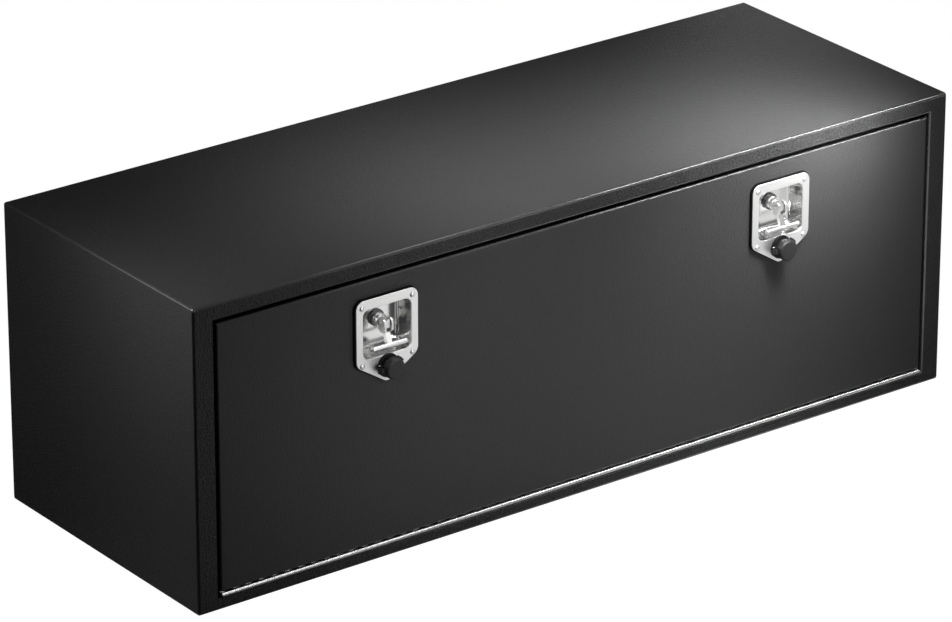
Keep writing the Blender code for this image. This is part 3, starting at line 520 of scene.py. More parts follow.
@dataclass(frozen=True)
class Finish:
    """One surface finish, from a dark tone to a light tone of its texture."""

    name: str
    slot: str
    grain: Grain
    dark: Colour
    light: Colour
    smoothest: float
    roughest: float
    bump: float
    depth: float
    metallic: float = 1.0
    specular: float = 0.5
    dark_tone: float = 0.3
    light_tone: float = 0.7

    def scales(self) -> dict[str, float]:
        """The scales that differ from the texture's own."""
        return {}

    def touched(
        self, build: Nodes, place: Socket, colour: Socket, rough: Socket
    ) -> tuple[Socket, Socket]:
        """The colour and roughness, which are plain on a plain finish."""
        return colour, rough

    def material(self, group: bpy.types.NodeTree) -> bpy.types.Material:
        """The finish as a material.

        Args:
            group: The group of its texture.

        Returns:
            A material whose colour, roughness and bump come from its nodes.
        """
        made = bpy.data.materials.new(self.name)
        made.use_nodes = True
        build = Nodes(made.node_tree)
        place = build.add("ShaderNodeTexCoord").outputs["Object"]
        inputs = {"Vector": place, **self.scales()}
        texture = build.add("ShaderNodeGroup", inputs, node_tree=group).outputs
        tone = texture["Tone"]
        mix = {0: tone, 6: (*self.dark, 1), 7: (*self.light, 1)}
        colour = build.add("ShaderNodeMix", mix, data_type="RGBA").outputs[2]
        rough = build.ramp(tone, self.dark_tone, self.light_tone, self.smoothest, self.roughest)
        colour, rough = self.touched(build, place, colour, rough)
        bump = build.add("ShaderNodeBump", {
            "Strength": self.bump, "Distance": self.depth, "Height": texture["Height"],
        })
        if self.grain.value.wave_strength:
            bump = build.add("ShaderNodeBump", {
                "Strength": self.grain.value.wave_strength,
                "Distance": self.grain.value.wave_depth,
                "Height": texture["Waves"],
                "Normal": bump.outputs[0],
            })
        shader = build.tree.nodes["Principled BSDF"].inputs
        for name, value in {
            "Base Color": colour, "Roughness": rough, "Normal": bump.outputs[0],
            "Metallic": self.metallic, "Specular IOR Level": self.specular,
        }.items():
            build.feed(value, shader[name])
        return made


@dataclass(frozen=True)
class PowderCoat(Finish):
    """A powder coat that flows thin and glossy round bends, with painted shade on marked faces."""

    pebble_scale: float = 330.0
    bend_share: float = 0.5
    # How far the painted shade darkens the colour.
    painted_shade_share: float = 0.08
    coat_roughness: float = 0.08
    coat_ior: float = 1.8
    gloss_from: float = -0.45
    gloss_to: float = -0.05
    side_gloss_from: float = 0.05
    side_gloss_to: float = -0.25
    side_gloss: float = 0.5

    def scales(self) -> dict[str, float]:
        """The size of the coat's pebbles."""
        return {"Pebble Scale": self.pebble_scale}

    def touched(
        self, build: Nodes, place: Socket, colour: Socket, rough: Socket
    ) -> tuple[Socket, Socket]:
        """Glosses the bends and paints shade, darkening the colour of faces marked as in shade.

        The gloss grows from the left to the right, and on the side edges from the
        back to the front, as in the photo.

        Args:
            build: The material's nodes.
            place: Object coordinates.
            colour: The colour before the painted shade.
            rough: The roughness of the flats.

        Returns:
            The colour with its painted shade, and the roughness everywhere.
        """
        # Painted shade: the colour of faces marked as in shade is scaled down by the shade share.
        mark = build.add("ShaderNodeAttribute", attribute_name=BEND).outputs["Fac"]
        shade = build.ramp(mark, Mark.SHADE.value, Mark.PLAIN.value, self.painted_shade_share)
        darkened_for_shade = build.add("ShaderNodeVectorMath", {0: colour, "Scale": shade}, operation="SCALE")
        x, y, _ = build.parts(place)
        along = build.add("ShaderNodeMix", {
            0: build.ramp(mark, Mark.BEND.value, Mark.SIDE_BEND.value),
            2: build.ramp(x, self.gloss_from, self.gloss_to),
            3: build.ramp(
                y, self.side_gloss_from, self.side_gloss_to, high=self.side_gloss
            ),
        })
        gloss = build.math("MULTIPLY", mark, along.outputs[0], clamp=True)
        shader = build.tree.nodes["Principled BSDF"].inputs
        build.feed(gloss, shader["Coat Weight"])
        build.feed(self.coat_roughness, shader["Coat Roughness"])
        build.feed(self.coat_ior, shader["Coat IOR"])
        share = build.ramp(gloss, 0.0, 1.0, low=1.0, high=self.bend_share)
        return darkened_for_shade.outputs[0], build.math("MULTIPLY", rough, share)


@dataclass(frozen=True)
class PressedSteel(Finish):
    """Brushed sheet that is smoother inside its pressing, where no brush reaches."""

    face: float = -0.2216
    rim: float = 0.0004
    fade: float = 0.0015
    inside_share: float = 0.32

    def touched(
        self, build: Nodes, place: Socket, colour: Socket, rough: Socket
    ) -> tuple[Socket, Socket]:
        """Lowers the roughness behind the face.

        Args:
            build: The material's nodes.
            place: Object coordinates.
            colour: The colour.
            rough: The roughness of the face.

        Returns:
            The colour and the roughness everywhere.
        """
        start = self.face + self.rim
        depth = build.parts(place)[Axis.Y.value]
        end = start + self.fade
        share = build.ramp(depth, start, end, low=1.0, high=self.inside_share)
        return colour, build.math("MULTIPLY", rough, share)


@dataclass
class Paintwork:
    """Every finish of the tool box as a material, made once."""

    groups: dict[Grain, bpy.types.NodeTree] = field(default_factory=dict)
    made: dict[str, bpy.types.Material] = field(default_factory=dict)

    def of(self, finish: Finish) -> bpy.types.Material:
        """Finds or makes a material.

        Args:
            finish: Its finish.

        Returns:
            The material.
        """
        if finish.grain not in self.groups:
            self.groups[finish.grain] = finish.grain.value.group()
        if finish.name not in self.made:
            self.made[finish.name] = finish.material(self.groups[finish.grain])
        return self.made[finish.name]


POWDER = PowderCoat(
    "black powder coat", "powder_coat", Grain.POWDER,
    dark=(0.033, 0.033, 0.0335), light=(0.056, 0.056, 0.0565), smoothest=0.40, roughest=0.54,
    bump=0.9, depth=0.0010, metallic=0.0, specular=0.22, pebble_scale=480.0, bend_share=0.4,
)
FRAME_POWDER = PowderCoat(
    "coarse black powder coat", "powder_coat", Grain.POWDER,
    dark=(0.006, 0.006, 0.0062), light=(0.062, 0.062, 0.0625), smoothest=0.32, roughest=0.54,
    bump=1.0, depth=0.0040, metallic=0.0, specular=0.26, pebble_scale=350.0, bend_share=0.5,
)
PLATE_STEEL = PressedSteel(
    "brushed stainless sheet", "stainless", Grain.BRUSHED,
    dark=(0.80, 0.80, 0.795), light=(0.92, 0.92, 0.915), smoothest=0.42, roughest=0.50,
    bump=0.10, depth=0.00004,
)
BRIGHT_STEEL = Finish(
    "polished stainless", "stainless", Grain.PLATED,
    dark=(0.72, 0.72, 0.715), light=(0.82, 0.82, 0.815), smoothest=0.28, roughest=0.36,
    bump=0.08, depth=0.00003,
)
DARK_STEEL = Finish(
    "dark burnished steel", "stainless", Grain.PLATED,
    dark=(0.10, 0.10, 0.10), light=(0.17, 0.17, 0.17), smoothest=0.24, roughest=0.34,
    bump=0.10, depth=0.00006,
)
HINGE_STEEL = Finish(
    "hinge stainless", "stainless", Grain.BRUSHED,
    dark=(0.70, 0.70, 0.695), light=(0.84, 0.84, 0.835), smoothest=0.20, roughest=0.30,
    bump=0.08, depth=0.00004,
)
ZINC = Finish(
    "zinc plate", "zinc_plate", Grain.PLATED,
    dark=(0.48, 0.49, 0.50), light=(0.62, 0.63, 0.64), smoothest=0.30, roughest=0.44,
    bump=0.16, depth=0.00008,
)
BRASS = Finish(
    "lock brass", "lock_brass", Grain.PLATED,
    dark=(0.60, 0.48, 0.27), light=(0.72, 0.60, 0.37), smoothest=0.26, roughest=0.38,
    bump=0.12, depth=0.00006,
)
CAP_PLASTIC = Finish(
    "black cap plastic", "black_plastic", Grain.MOULDED,
    dark=(0.012, 0.012, 0.0123), light=(0.022, 0.022, 0.0224), smoothest=0.42, roughest=0.56,
    bump=0.30, depth=0.00010, metallic=0.0, specular=0.4,
)
# Black collar plastic, darker than the cover's plastic as painted shade round the lock.
SHADE_DARKENED_COLLAR_PLASTIC = Finish(
    "matt black collar plastic", "black_plastic", Grain.MOULDED,
    dark=(0.004, 0.004, 0.0042), light=(0.009, 0.009, 0.0092), smoothest=0.50, roughest=0.64,
    bump=0.30, depth=0.00010, metallic=0.0, specular=0.2,
)
RUBBER = Finish(
    "black rubber", "rubber", Grain.MOULDED,
    dark=(0.002, 0.002, 0.002), light=(0.005, 0.005, 0.005), smoothest=0.72, roughest=0.90,
    bump=0.30, depth=0.00012, metallic=0.0, specular=0.10,
)


@dataclass
class Workshop:
    """Settles finished pieces on the frame."""

    paint: Paintwork
    bevel_segments: int = 2
    flat_weight: int = 100

    def settle(
        self, name: str, shape: Shape, finish: Finish, body: str, *nodes: str,
        bevel: float = 0.0, shaded: bool = False,
    ) -> None:
        """Makes a piece from a solid and lets it ride.

        Args:
            name: The piece's name.
            shape: Its solid in world coordinates, which is used up.
            finish: Its finish.
            body: The body that carries it.
            nodes: The CAD nodes that it stands for.
            bevel: How far its sharp edges are rounded.
            shaded: Whether its upright bends and its returns get painted shade.
        """
        bmesh.ops.remove_doubles(shape, verts=shape.verts, dist=MERGE)
        made = shape_object(name, shape)
        if bevel:
            rounding = made.modifiers.new("edges", "BEVEL")
            rounding.width = bevel
            rounding.segments = self.bevel_segments
            rounding.limit_method = "ANGLE"
            rounding.angle_limit = CREASE
            apply(made)
        made.data.shade_smooth()
        made.data.set_sharp_from_angle(angle=2 * CREASE if bevel else CREASE)
        level = made.modifiers.new("flat faces stay flat", "WEIGHTED_NORMAL")
        level.weight = self.flat_weight
        level.keep_sharp = True
        apply(made)
        if isinstance(finish, PowderCoat):
            self._mark(made.data, shaded)
        self.place(made, finish, body, *nodes)

    def place(self, made: bpy.types.Object, finish: Finish, body: str, *nodes: str) -> None:
        """Gives a plain mesh its finish and its body, and hides what it stands for.

        Args:
            made: The object.
            finish: Its finish.
            body: The body that carries it.
            nodes: The CAD nodes that it stands for.
        """
        made.data.materials.clear()
        made.data.materials.append(self.paint.of(finish))
        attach(made, body)
        if nodes:
            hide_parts(*nodes)
        LOG.info("%s: %d faces on %s", made.name, len(made.data.polygons), body)

    def dress(self, finish: Finish, *nodes: str) -> None:
        """Gives CAD nodes a finish.

        Args:
            finish: The finish.
            nodes: Their names.
        """
        for node in nodes:
            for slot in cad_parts[node].material_slots:
                slot.material = self.paint.of(finish)
            LOG.info("%s: dressed in %s", node, finish.name)

    @staticmethod
    def _mark(mesh: bpy.types.Mesh, shaded: bool) -> None:
        """Stores on each face what part of the sheet it is, or that it gets painted shade.

        Args:
            mesh: The sheet.
            shaded: Whether its upright bends and its returns get painted shade.
        """
        marks = mesh.attributes.new(BEND, "FLOAT", "FACE")
        for polygon, mark in zip(mesh.polygons, marks.data):
            across, front, up = (abs(part) for part in polygon.normal)
            kind = Mark.BEND if max(across, front, up) < FLAT_NORMAL else Mark.PLAIN
            if kind is Mark.BEND and across > LEVEL_NORMAL and up > LEVEL_NORMAL:
                kind = Mark.SIDE_BEND
            upright = up < LEVEL_NORMAL and max(across, front) < FLAT_NORMAL
            # Upright bends and returns of a shaded piece are marked for painted shade.
            if shaded and (upright or up > FLAT_NORMAL):
                kind = Mark.SHADE
            mark.value = kind.value


# Cabinet and door


@dataclass
class Cabinet:
    """The folded body with its face round the door and the bulb seal on its lip."""

    shop: Workshop
    length: float = 1.219
    depth: float = 0.432
    height: float = 0.420
    sheet: float = 0.0015
    rim_bend: float = 0.003
    edge_bend: float = 0.004
    stile_width: float = 0.030
    header_height: float = 0.023
    sill_top: float = 0.0174
    frame_bend: float = 0.0025
    return_depth: float = 0.028
    seal_lip: float = 0.018
    seal_offset: float = 0.006
    seal_width: float = 0.010
    seal_foot: float = 0.0022
    bulb_share: float = 0.86
    bulb_steps: int = 16
    door_rear: float = -0.196
    bend_steps: int = 8

    @property
    def front(self) -> float:
        """The plane of the face round the door."""
        return -self.depth / 2

    @property
    def half(self) -> float:
        """Half the length over all."""
        return self.length / 2

    @property
    def opening_half(self) -> float:
        """Half the width of the door opening."""
        return self.half - self.stile_width

    @property
    def lip_front(self) -> float:
        """The plane that the seal sits on."""
        return self.front + self.return_depth

    def opening(self, inset: float, depth: float) -> Ring:
        """The door opening's rectangle at a depth, drawn in by an inset."""
        half, high = self.opening_half - inset, self.height - self.header_height - inset
        return lay(rectangle(-half, half, self.sill_top + inset, high), Axis.Y, depth)

    def end_panel(self, side: int) -> Shape:
        """A tray with bent rims that closes one end.

        Args:
            side: -1 for the left end and 1 for the right.

        Returns:
            The sheet.
        """
        radius, steps = self.rim_bend, self.bend_steps
        bend = arc((radius, radius), radius, -QUARTER, -HALF, steps)
        bend += arc((radius, radius), radius - self.sheet, -HALF, -QUARTER, steps)
        rings = []
        for inset, depth in bend:
            near, corner = self.front + inset, self.edge_bend - inset
            outline = rectangle(near, -near, inset, self.height - inset, corner, steps)
            rings.append(lay(outline, Axis.X, side * (self.half - depth)))
        return skin(rings)

    def wrap(self) -> Shape:
        """The top, back and bottom, folded from one sheet.

        Returns:
            Its closed mesh.
        """
        bend = self.edge_bend
        outline: Outline = []
        near, high = self.front + bend, self.height - bend
        corners = [(near, high), (-near, high), (-near, bend), (near, bend)]
        turns = list(zip(corners, (HALF, QUARTER, 0.0, -QUARTER)))
        for centre, start in turns:
            outline += arc(centre, bend, start, start - QUARTER, self.bend_steps)
        for centre, start in reversed(turns):
            outline += arc(centre, bend - self.sheet, start - QUARTER, start, self.bend_steps)
        reach = self.half - self.rim_bend
        return prism(outline, Axis.X, -reach, reach)

    def face(self) -> Shape:
        """The face round the door, folded back into the opening and in again as a lip.

        Returns:
            Its closed mesh.
        """
        reach, low = self.half - self.rim_bend, self.edge_bend
        bend, sheet = self.frame_bend, self.sheet
        outer = rectangle(-reach, reach, low, self.height - low)
        front, rear = pushed(outer, Axis.Y, self.front, self.front + sheet)
        centre, lip = (-bend, self.front + bend), self.lip_front
        section = arc(centre, bend, -QUARTER, 0, self.bend_steps)
        section += [(0, lip), (self.seal_lip, lip)]
        section += [(self.seal_lip, lip + sheet), (-sheet, lip + sheet)]
        section += arc(centre, bend - sheet, 0, -QUARTER, self.bend_steps)
        return skin([front, *(self.opening(*at) for at in section), rear], closed=True)

    def seal(self) -> Shape:
        """The bulb seal round the opening, with its foot and two side beads.

        Returns:
            Its closed mesh.
        """
        seat, half = self.lip_front - SEAT, self.seal_width / 2
        foot, bead = seat - self.seal_foot, seat - self.seal_foot / 2
        rise, bulb = foot - self.door_rear - SEAT, self.bulb_share * half
        section = [(half, seat), (-half, seat), (-half, bead)]
        for across, up in arc((0, 0), 1, HALF, 0, self.bulb_steps):
            section.append((bulb * across, foot - rise * up))
        section.append((half, bead))
        middle = self.seal_offset + half
        return skin([self.opening(middle + a, depth) for a, depth in section], closed=True)

    def build(self) -> None:
        """Makes every piece of the cabinet."""
        shop = self.shop
        shop.settle("cabinet_wrap", self.wrap(), POWDER, "cabinet", "body_wrap")
        for word, side in (("left", -1), ("right", 1)):
            name, node = f"cabinet_{word}_end", f"{word}_end_panel"
            # The end panels' upright bends and returns get painted shade.
            shop.settle(name, self.end_panel(side), POWDER, "cabinet", node, shaded=True)
        shop.settle("cabinet_face", self.face(), FRAME_POWDER, "cabinet", "front_frame")
        shop.settle("bulb_seal", self.seal(), RUBBER, "cabinet", "door_seal")


@dataclass
class Door:
    """The folded drop-down door, its windows for the latches and its stiffener."""

    shop: Workshop
    cabinet: Cabinet
    latches: list["Latch"]
    side_gap: float = 0.004
    bottom: float = 0.0248
    top: float = 0.392
    depth: float = 0.020
    bend: float = 0.0025
    lip: float = 0.014
    stiffener_height: float = 0.150
    crown: float = 0.034
    flange: float = 0.016
    slope: float = 0.009
    hat_depth: float = 0.013
    hat_sheet: float = 0.0012
    hat_end: float = 0.030
    hat_outer_bend: float = 0.002
    hat_inner_bend: float = 0.001
    hat_bend_steps: int = 4

    @property
    def half(self) -> float:
        """Half the door's width."""
        return self.cabinet.opening_half - self.side_gap

    def ring(self, inset: float, depth: float) -> Ring:
        """The door's rectangle behind its face.

        Args:
            inset: How far it is drawn in.
            depth: How far it lies behind the face.

        Returns:
            The ring.
        """
        half = self.half - inset
        outline = rectangle(-half, half, self.bottom + inset, self.top - inset)
        return lay(outline, Axis.Y, self.cabinet.front + depth)

    def panel(self) -> Shape:
        """The sheet, folded back on four sides and in again behind, with its windows.

        Returns:
            Its closed mesh.
        """
        bend, sheet, steps = self.bend, self.cabinet.sheet, self.cabinet.bend_steps
        inside = self.depth - sheet
        section = arc((bend, bend), bend, -QUARTER, -HALF, steps)
        section += [(0, self.depth), (self.lip, self.depth), (self.lip, inside), (sheet, inside)]
        section += arc((bend, bend), bend - sheet, -HALF, -QUARTER, steps)
        front = self.cabinet.front
        holes = [
            pushed(outline, Axis.Y, front, front + sheet)
            for latch in self.latches
            for outline in latch.door_holes()
        ]
        return walled([self.ring(*at) for at in section], holes)

    def stiffener(self) -> Shape:
        """A hat channel along the inside.

        Returns:
            Its closed mesh.
        """
        half, sheet, middle = self.crown / 2, self.hat_sheet, self.stiffener_height
        outer, inner = self.hat_outer_bend, self.hat_inner_bend
        wide = half + self.slope
        edge = wide + self.flange
        near = self.cabinet.front + self.cabinet.sheet + SEAT
        far = near + self.hat_depth
        low = [(near, edge, 0), (near, wide, outer), (far - sheet, half, inner)]
        high = [(far, half + sheet, outer), (near + sheet, wide + sheet, inner)]
        high.append((near + sheet, edge, 0))
        corners = [
            (depth, middle + way * up, radius)
            for way, points in ((-1, low), (1, low[::-1]), (1, high[::-1]), (-1, high))
            for depth, up, radius in points
        ]
        reach = self.half - self.lip - self.hat_end
        return prism(filleted(corners, self.hat_bend_steps), Axis.X, -reach, reach)

    def build(self) -> None:
        """Makes every piece of the door."""
        shop = self.shop
        # The door's upright bends and its returns in the gap get painted shade.
        shop.settle("door_skin", self.panel(), POWDER, "door", "door_panel", shaded=True)
        shop.settle("door_hat_channel", self.stiffener(), POWDER, "door", "door_stiffener")


# Geometry Nodes


@dataclass
class Pattern(Nodes):
    """A Geometry Nodes tree that repeats something, with named inputs."""

    given: dict[str, Socket] = field(default_factory=dict)
    identifiers: dict[str, str] = field(default_factory=dict)

    @classmethod
    def started(cls, name: str, inputs: dict[str, Sequence[str]]) -> "Pattern":
        """Starts a tree.

        Args:
            name: Its name.
            inputs: The names of its inputs by kind.

        Returns:
            The tree with its inputs and its output.
        """
        made = cls(bpy.data.node_groups.new(name, "GeometryNodeTree"))
        made.opens("Geometry", "Geometry", "OUTPUT")
        for kind, names in {"Material": ("Material",), **inputs}.items():
            for key in names:
                made.identifiers[key] = made.opens(key, kind).identifier
        source = made.add("NodeGroupInput").outputs
        made.given = {key: source[key] for key in made.identifiers}
        return made

    def moved(self, geometry: Socket, **inputs: object) -> Socket:
        """A geometry moved, turned or scaled."""
        return self.add("GeometryNodeTransform", {"Geometry": geometry, **inputs}).outputs[0]

    def repeated(self, points: Socket, instance: Socket, **inputs: object) -> Socket:
        """A geometry repeated on points."""
        inputs = {"Points": points, "Instance": instance, **inputs}
        return self.add("GeometryNodeInstanceOnPoints", inputs).outputs[0]

    def join(self, *parts: Socket) -> Socket:
        """Several geometries as one.

        Args:
            parts: The geometries in order.

        Returns:
            The whole.
        """
        whole = self.add("GeometryNodeJoinGeometry")
        for part in parts:
            self.feed(part, whole.inputs[0])
        return whole.outputs[0]

    def finish(self, geometry: Socket) -> None:
        """Ends the tree in real geometry with its material.

        Args:
            geometry: What the tree made.
        """
        real = self.add("GeometryNodeRealizeInstances", {"Geometry": geometry})
        coat = {"Geometry": real.outputs[0], "Material": self.given["Material"]}
        self.add("NodeGroupOutput", {0: self.add("GeometryNodeSetMaterial", coat).outputs[0]})

    def grow(self, name: str, values: dict[str, object]) -> bpy.types.Object:
        """Runs the tree once and keeps its result as a plain mesh.

        Args:
            name: The new object's name.
            values: The tree's inputs by name.

        Returns:
            The object, with no modifier left.
        """
        host = shape_object(name, bmesh.new())
        modifier = host.modifiers.new(self.tree.name, "NODES")
        modifier.node_group = self.tree
        for key, value in values.items():
            modifier[self.identifiers[key]] = value
        apply(host)
        host.data.shade_smooth()
        host.data.set_sharp_from_angle(angle=CREASE)
        return host


@dataclass
class PianoHinge:
    """The full-length stainless hinge along the door's lower edge."""

    shop: Workshop
    front: float
    height: float = 0.0205
    length: float = 1.150
    count: int = 115
    radius: float = 0.0028
    sheet: float = 0.0012
    pin_radius: float = 0.0013
    body_leaf: float = 0.0225
    door_leaf: float = 0.0180
    gap: float = 0.00045
    notch: float = 0.0042
    curl_points: int = 28
    mouth: float = math.radians(24)
    pin_end_rings: int = 4
    pin_facets: int = 16

    def pattern(self) -> Pattern:
        """The knuckles of a leaf, each a curl of sheet, and the leaf that they grow from.

        Returns:
            A tree that repeats one knuckle along the hinge.
        """
        floats = ("Length", "Pitch", "Gap", "Radius", "Sheet", "First Place", "Leaf Width")
        kinds = {"Float": (*floats, "Flip", "Notch"), "Int": ("Count",), "Vector": ("Pin Place",)}
        build = Pattern.started("hinge knuckles", kinds)
        given, math_of, vector = build.given, build.math, build.vector
        sheet, flip, notch, pitch = (given[key] for key in ("Sheet", "Flip", "Notch", "Pitch"))
        middle = math_of("SUBTRACT", given["Radius"], math_of("MULTIPLY", sheet, 0.5))
        wide = math_of("SUBTRACT", pitch, given["Gap"])
        curl = build.add("GeometryNodeCurveArc", {
            "Resolution": self.curl_points, "Radius": middle,
            "Start Angle": -QUARTER, "Sweep Angle": self.mouth - TURN,
        }, mode="RADIUS")
        curve = build.moved(curl.outputs["Curve"], Rotation=vector(QUARTER, 0.0, QUARTER))
        curve = build.moved(curve, Scale=vector(1.0, 1.0, flip))
        edge = {"Width": wide, "Height": sheet}
        strip = build.add("GeometryNodeCurvePrimitiveQuadrilateral", edge).outputs[0]
        roll = {"Curve": curve, "Profile Curve": strip, "Fill Caps": True}
        rolled = build.add("GeometryNodeCurveToMesh", roll).outputs[0]
        line = build.add("GeometryNodeMeshLine", {
            "Count": given["Count"], "Start Location": vector(given["First Place"]),
            "Offset": vector(math_of("MULTIPLY", pitch, 2.0)),
        }).outputs[0]

        drop = math_of("MULTIPLY", math_of("MULTIPLY", middle, flip), -1.0)
        reach = math_of("SUBTRACT", given["Leaf Width"], notch)
        behind = math_of("ADD", notch, math_of("MULTIPLY", reach, 0.5))
        flats = []
        for long, deep, back in (
            (given["Length"], reach, behind), (wide, notch, math_of("MULTIPLY", notch, 0.5)),
        ):
            flat = build.add("GeometryNodeMeshCube", {"Size": vector(long, deep, sheet)})
            flats.append(build.moved(flat.outputs[0], Translation=vector(0.0, back, drop)))
        leaf, tab = flats
        whole = build.join(build.repeated(line, rolled), build.repeated(line, tab), leaf)
        build.finish(build.moved(whole, Translation=given["Pin Place"]))
        return build

    def leaf(
        self, pattern: Pattern, name: str, first: int, width: float, flip: int
    ) -> bpy.types.Object:
        """A leaf with every other knuckle of the barrel.

        Args:
            pattern: The tree of the knuckles.
            name: The piece's name.
            first: The number of its first knuckle.
            width: How far the leaf reaches behind the pin.
            flip: 1 for a leaf below the pin, -1 for one above it.

        Returns:
            The piece, not yet on its body.
        """
        pitch = self.length / self.count
        return pattern.grow(name, {
            "Material": self.shop.paint.of(HINGE_STEEL),
            "Length": self.length - self.gap,
            "Pitch": pitch,
            "Gap": self.gap,
            "Radius": self.radius,
            "Sheet": self.sheet,
            "First Place": (first + 0.5) * pitch - self.length / 2,
            "Leaf Width": width,
            "Flip": float(flip),
            "Notch": self.notch,
            "Count": (self.count - first + 1) // 2,
            "Pin Place": (0.0, self.front, self.height),
        })

    def build(self) -> None:
        """Makes the pin with domed ends and both leaves."""
        shop, pattern = self.shop, self.pattern()
        body = self.leaf(pattern, "hinge_lower_leaf", 0, self.body_leaf, 1)
        shop.place(body, HINGE_STEEL, "cabinet", "hinge_body_leaf")
        door = self.leaf(pattern, "hinge_upper_leaf", 1, self.door_leaf, -1)
        shop.place(door, HINGE_STEEL, "door", "hinge_door_leaf")
        at, rings, facets = (self.front, self.height), self.pin_end_rings, self.pin_facets
        pin = domed_rod(Axis.X, at, self.pin_radius, 0.0, self.length, rings, facets)
        shop.settle("hinge_wire", pin, HINGE_STEEL, "cabinet", "hinge_pin")


# Latch


@dataclass(frozen=True)
class Rivet:
    """A blind rivet: domed head, punched mandrel hole and swaged bulb."""

    grip: float
    head: float = 0.0036
    crown: float = 0.0015
    dome_power: float = 0.7
    dome_steps: int = 8
    bore: float = 0.0009
    bore_taper: float = 0.8
    bore_depth: float = 0.0008
    bore_edge: float = 0.0001
    hole: float = 0.0022
    shank: float = 0.0019
    blind_side: tuple[Point, ...] = (
        (0.0019, 0), (0.0028, 0.0006), (0.0028, 0.0024), (0.0016, 0.0035), (0, 0.0035)
    )
    facets: int = 28

    def solid(self) -> Shape:
        """The rivet at the origin, with its head in front.

        Returns:
            Its closed mesh.
        """
        top, floor = -SEAT - self.crown, self.bore_depth
        profile = [(0, top + floor), (self.bore * self.bore_taper, top + floor)]
        profile.append((self.bore, top + self.bore_edge))
        for step in range(self.dome_steps + 1):
            share = step / self.dome_steps
            rise = self.crown * math.cos(QUARTER * share) ** self.dome_power
            profile.append((self.bore + (self.head - self.bore) * share, -SEAT - rise))
        profile.append((self.shank, -SEAT))
        profile += [(radius, self.grip + behind) for radius, behind in self.blind_side]
        return turned(profile, Axis.Y, (0, 0), self.facets)

    @staticmethod
    def pattern() -> Pattern:
        """Four rivets at the corners of a latch plate.

        Returns:
            A tree that repeats one object, turned at random about its own axis.
        """
        build = Pattern.started("plate rivets", {
            "Object": ("Rivet",), "Float": ("Across", "Up"), "Int": ("Seed",),
            "Vector": ("Centre",),
        })
        given = build.given
        size = {"Size X": given["Across"], "Size Y": given["Up"], "Vertices X": 2, "Vertices Y": 2}
        corners = build.add("GeometryNodeMeshGrid", size).outputs[0]
        points = build.moved(corners, Rotation=build.vector(QUARTER), Translation=given["Centre"])
        rivet = build.add("GeometryNodeObjectInfo", {"Object": given["Rivet"]})
        spin = build.add("FunctionNodeRandomValue", {"Seed": given["Seed"]}, data_type="FLOAT")
        ends = [slot for slot in spin.inputs if slot.name in ("Min", "Max") and slot.enabled]
        for slot, value in zip(ends, (0.0, TURN)):
            build.feed(value, slot)
        turn = build.vector(0.0, next(out for out in spin.outputs if out.enabled))
        build.finish(build.repeated(points, rivet.outputs["Geometry"], Rotation=turn))
        return build


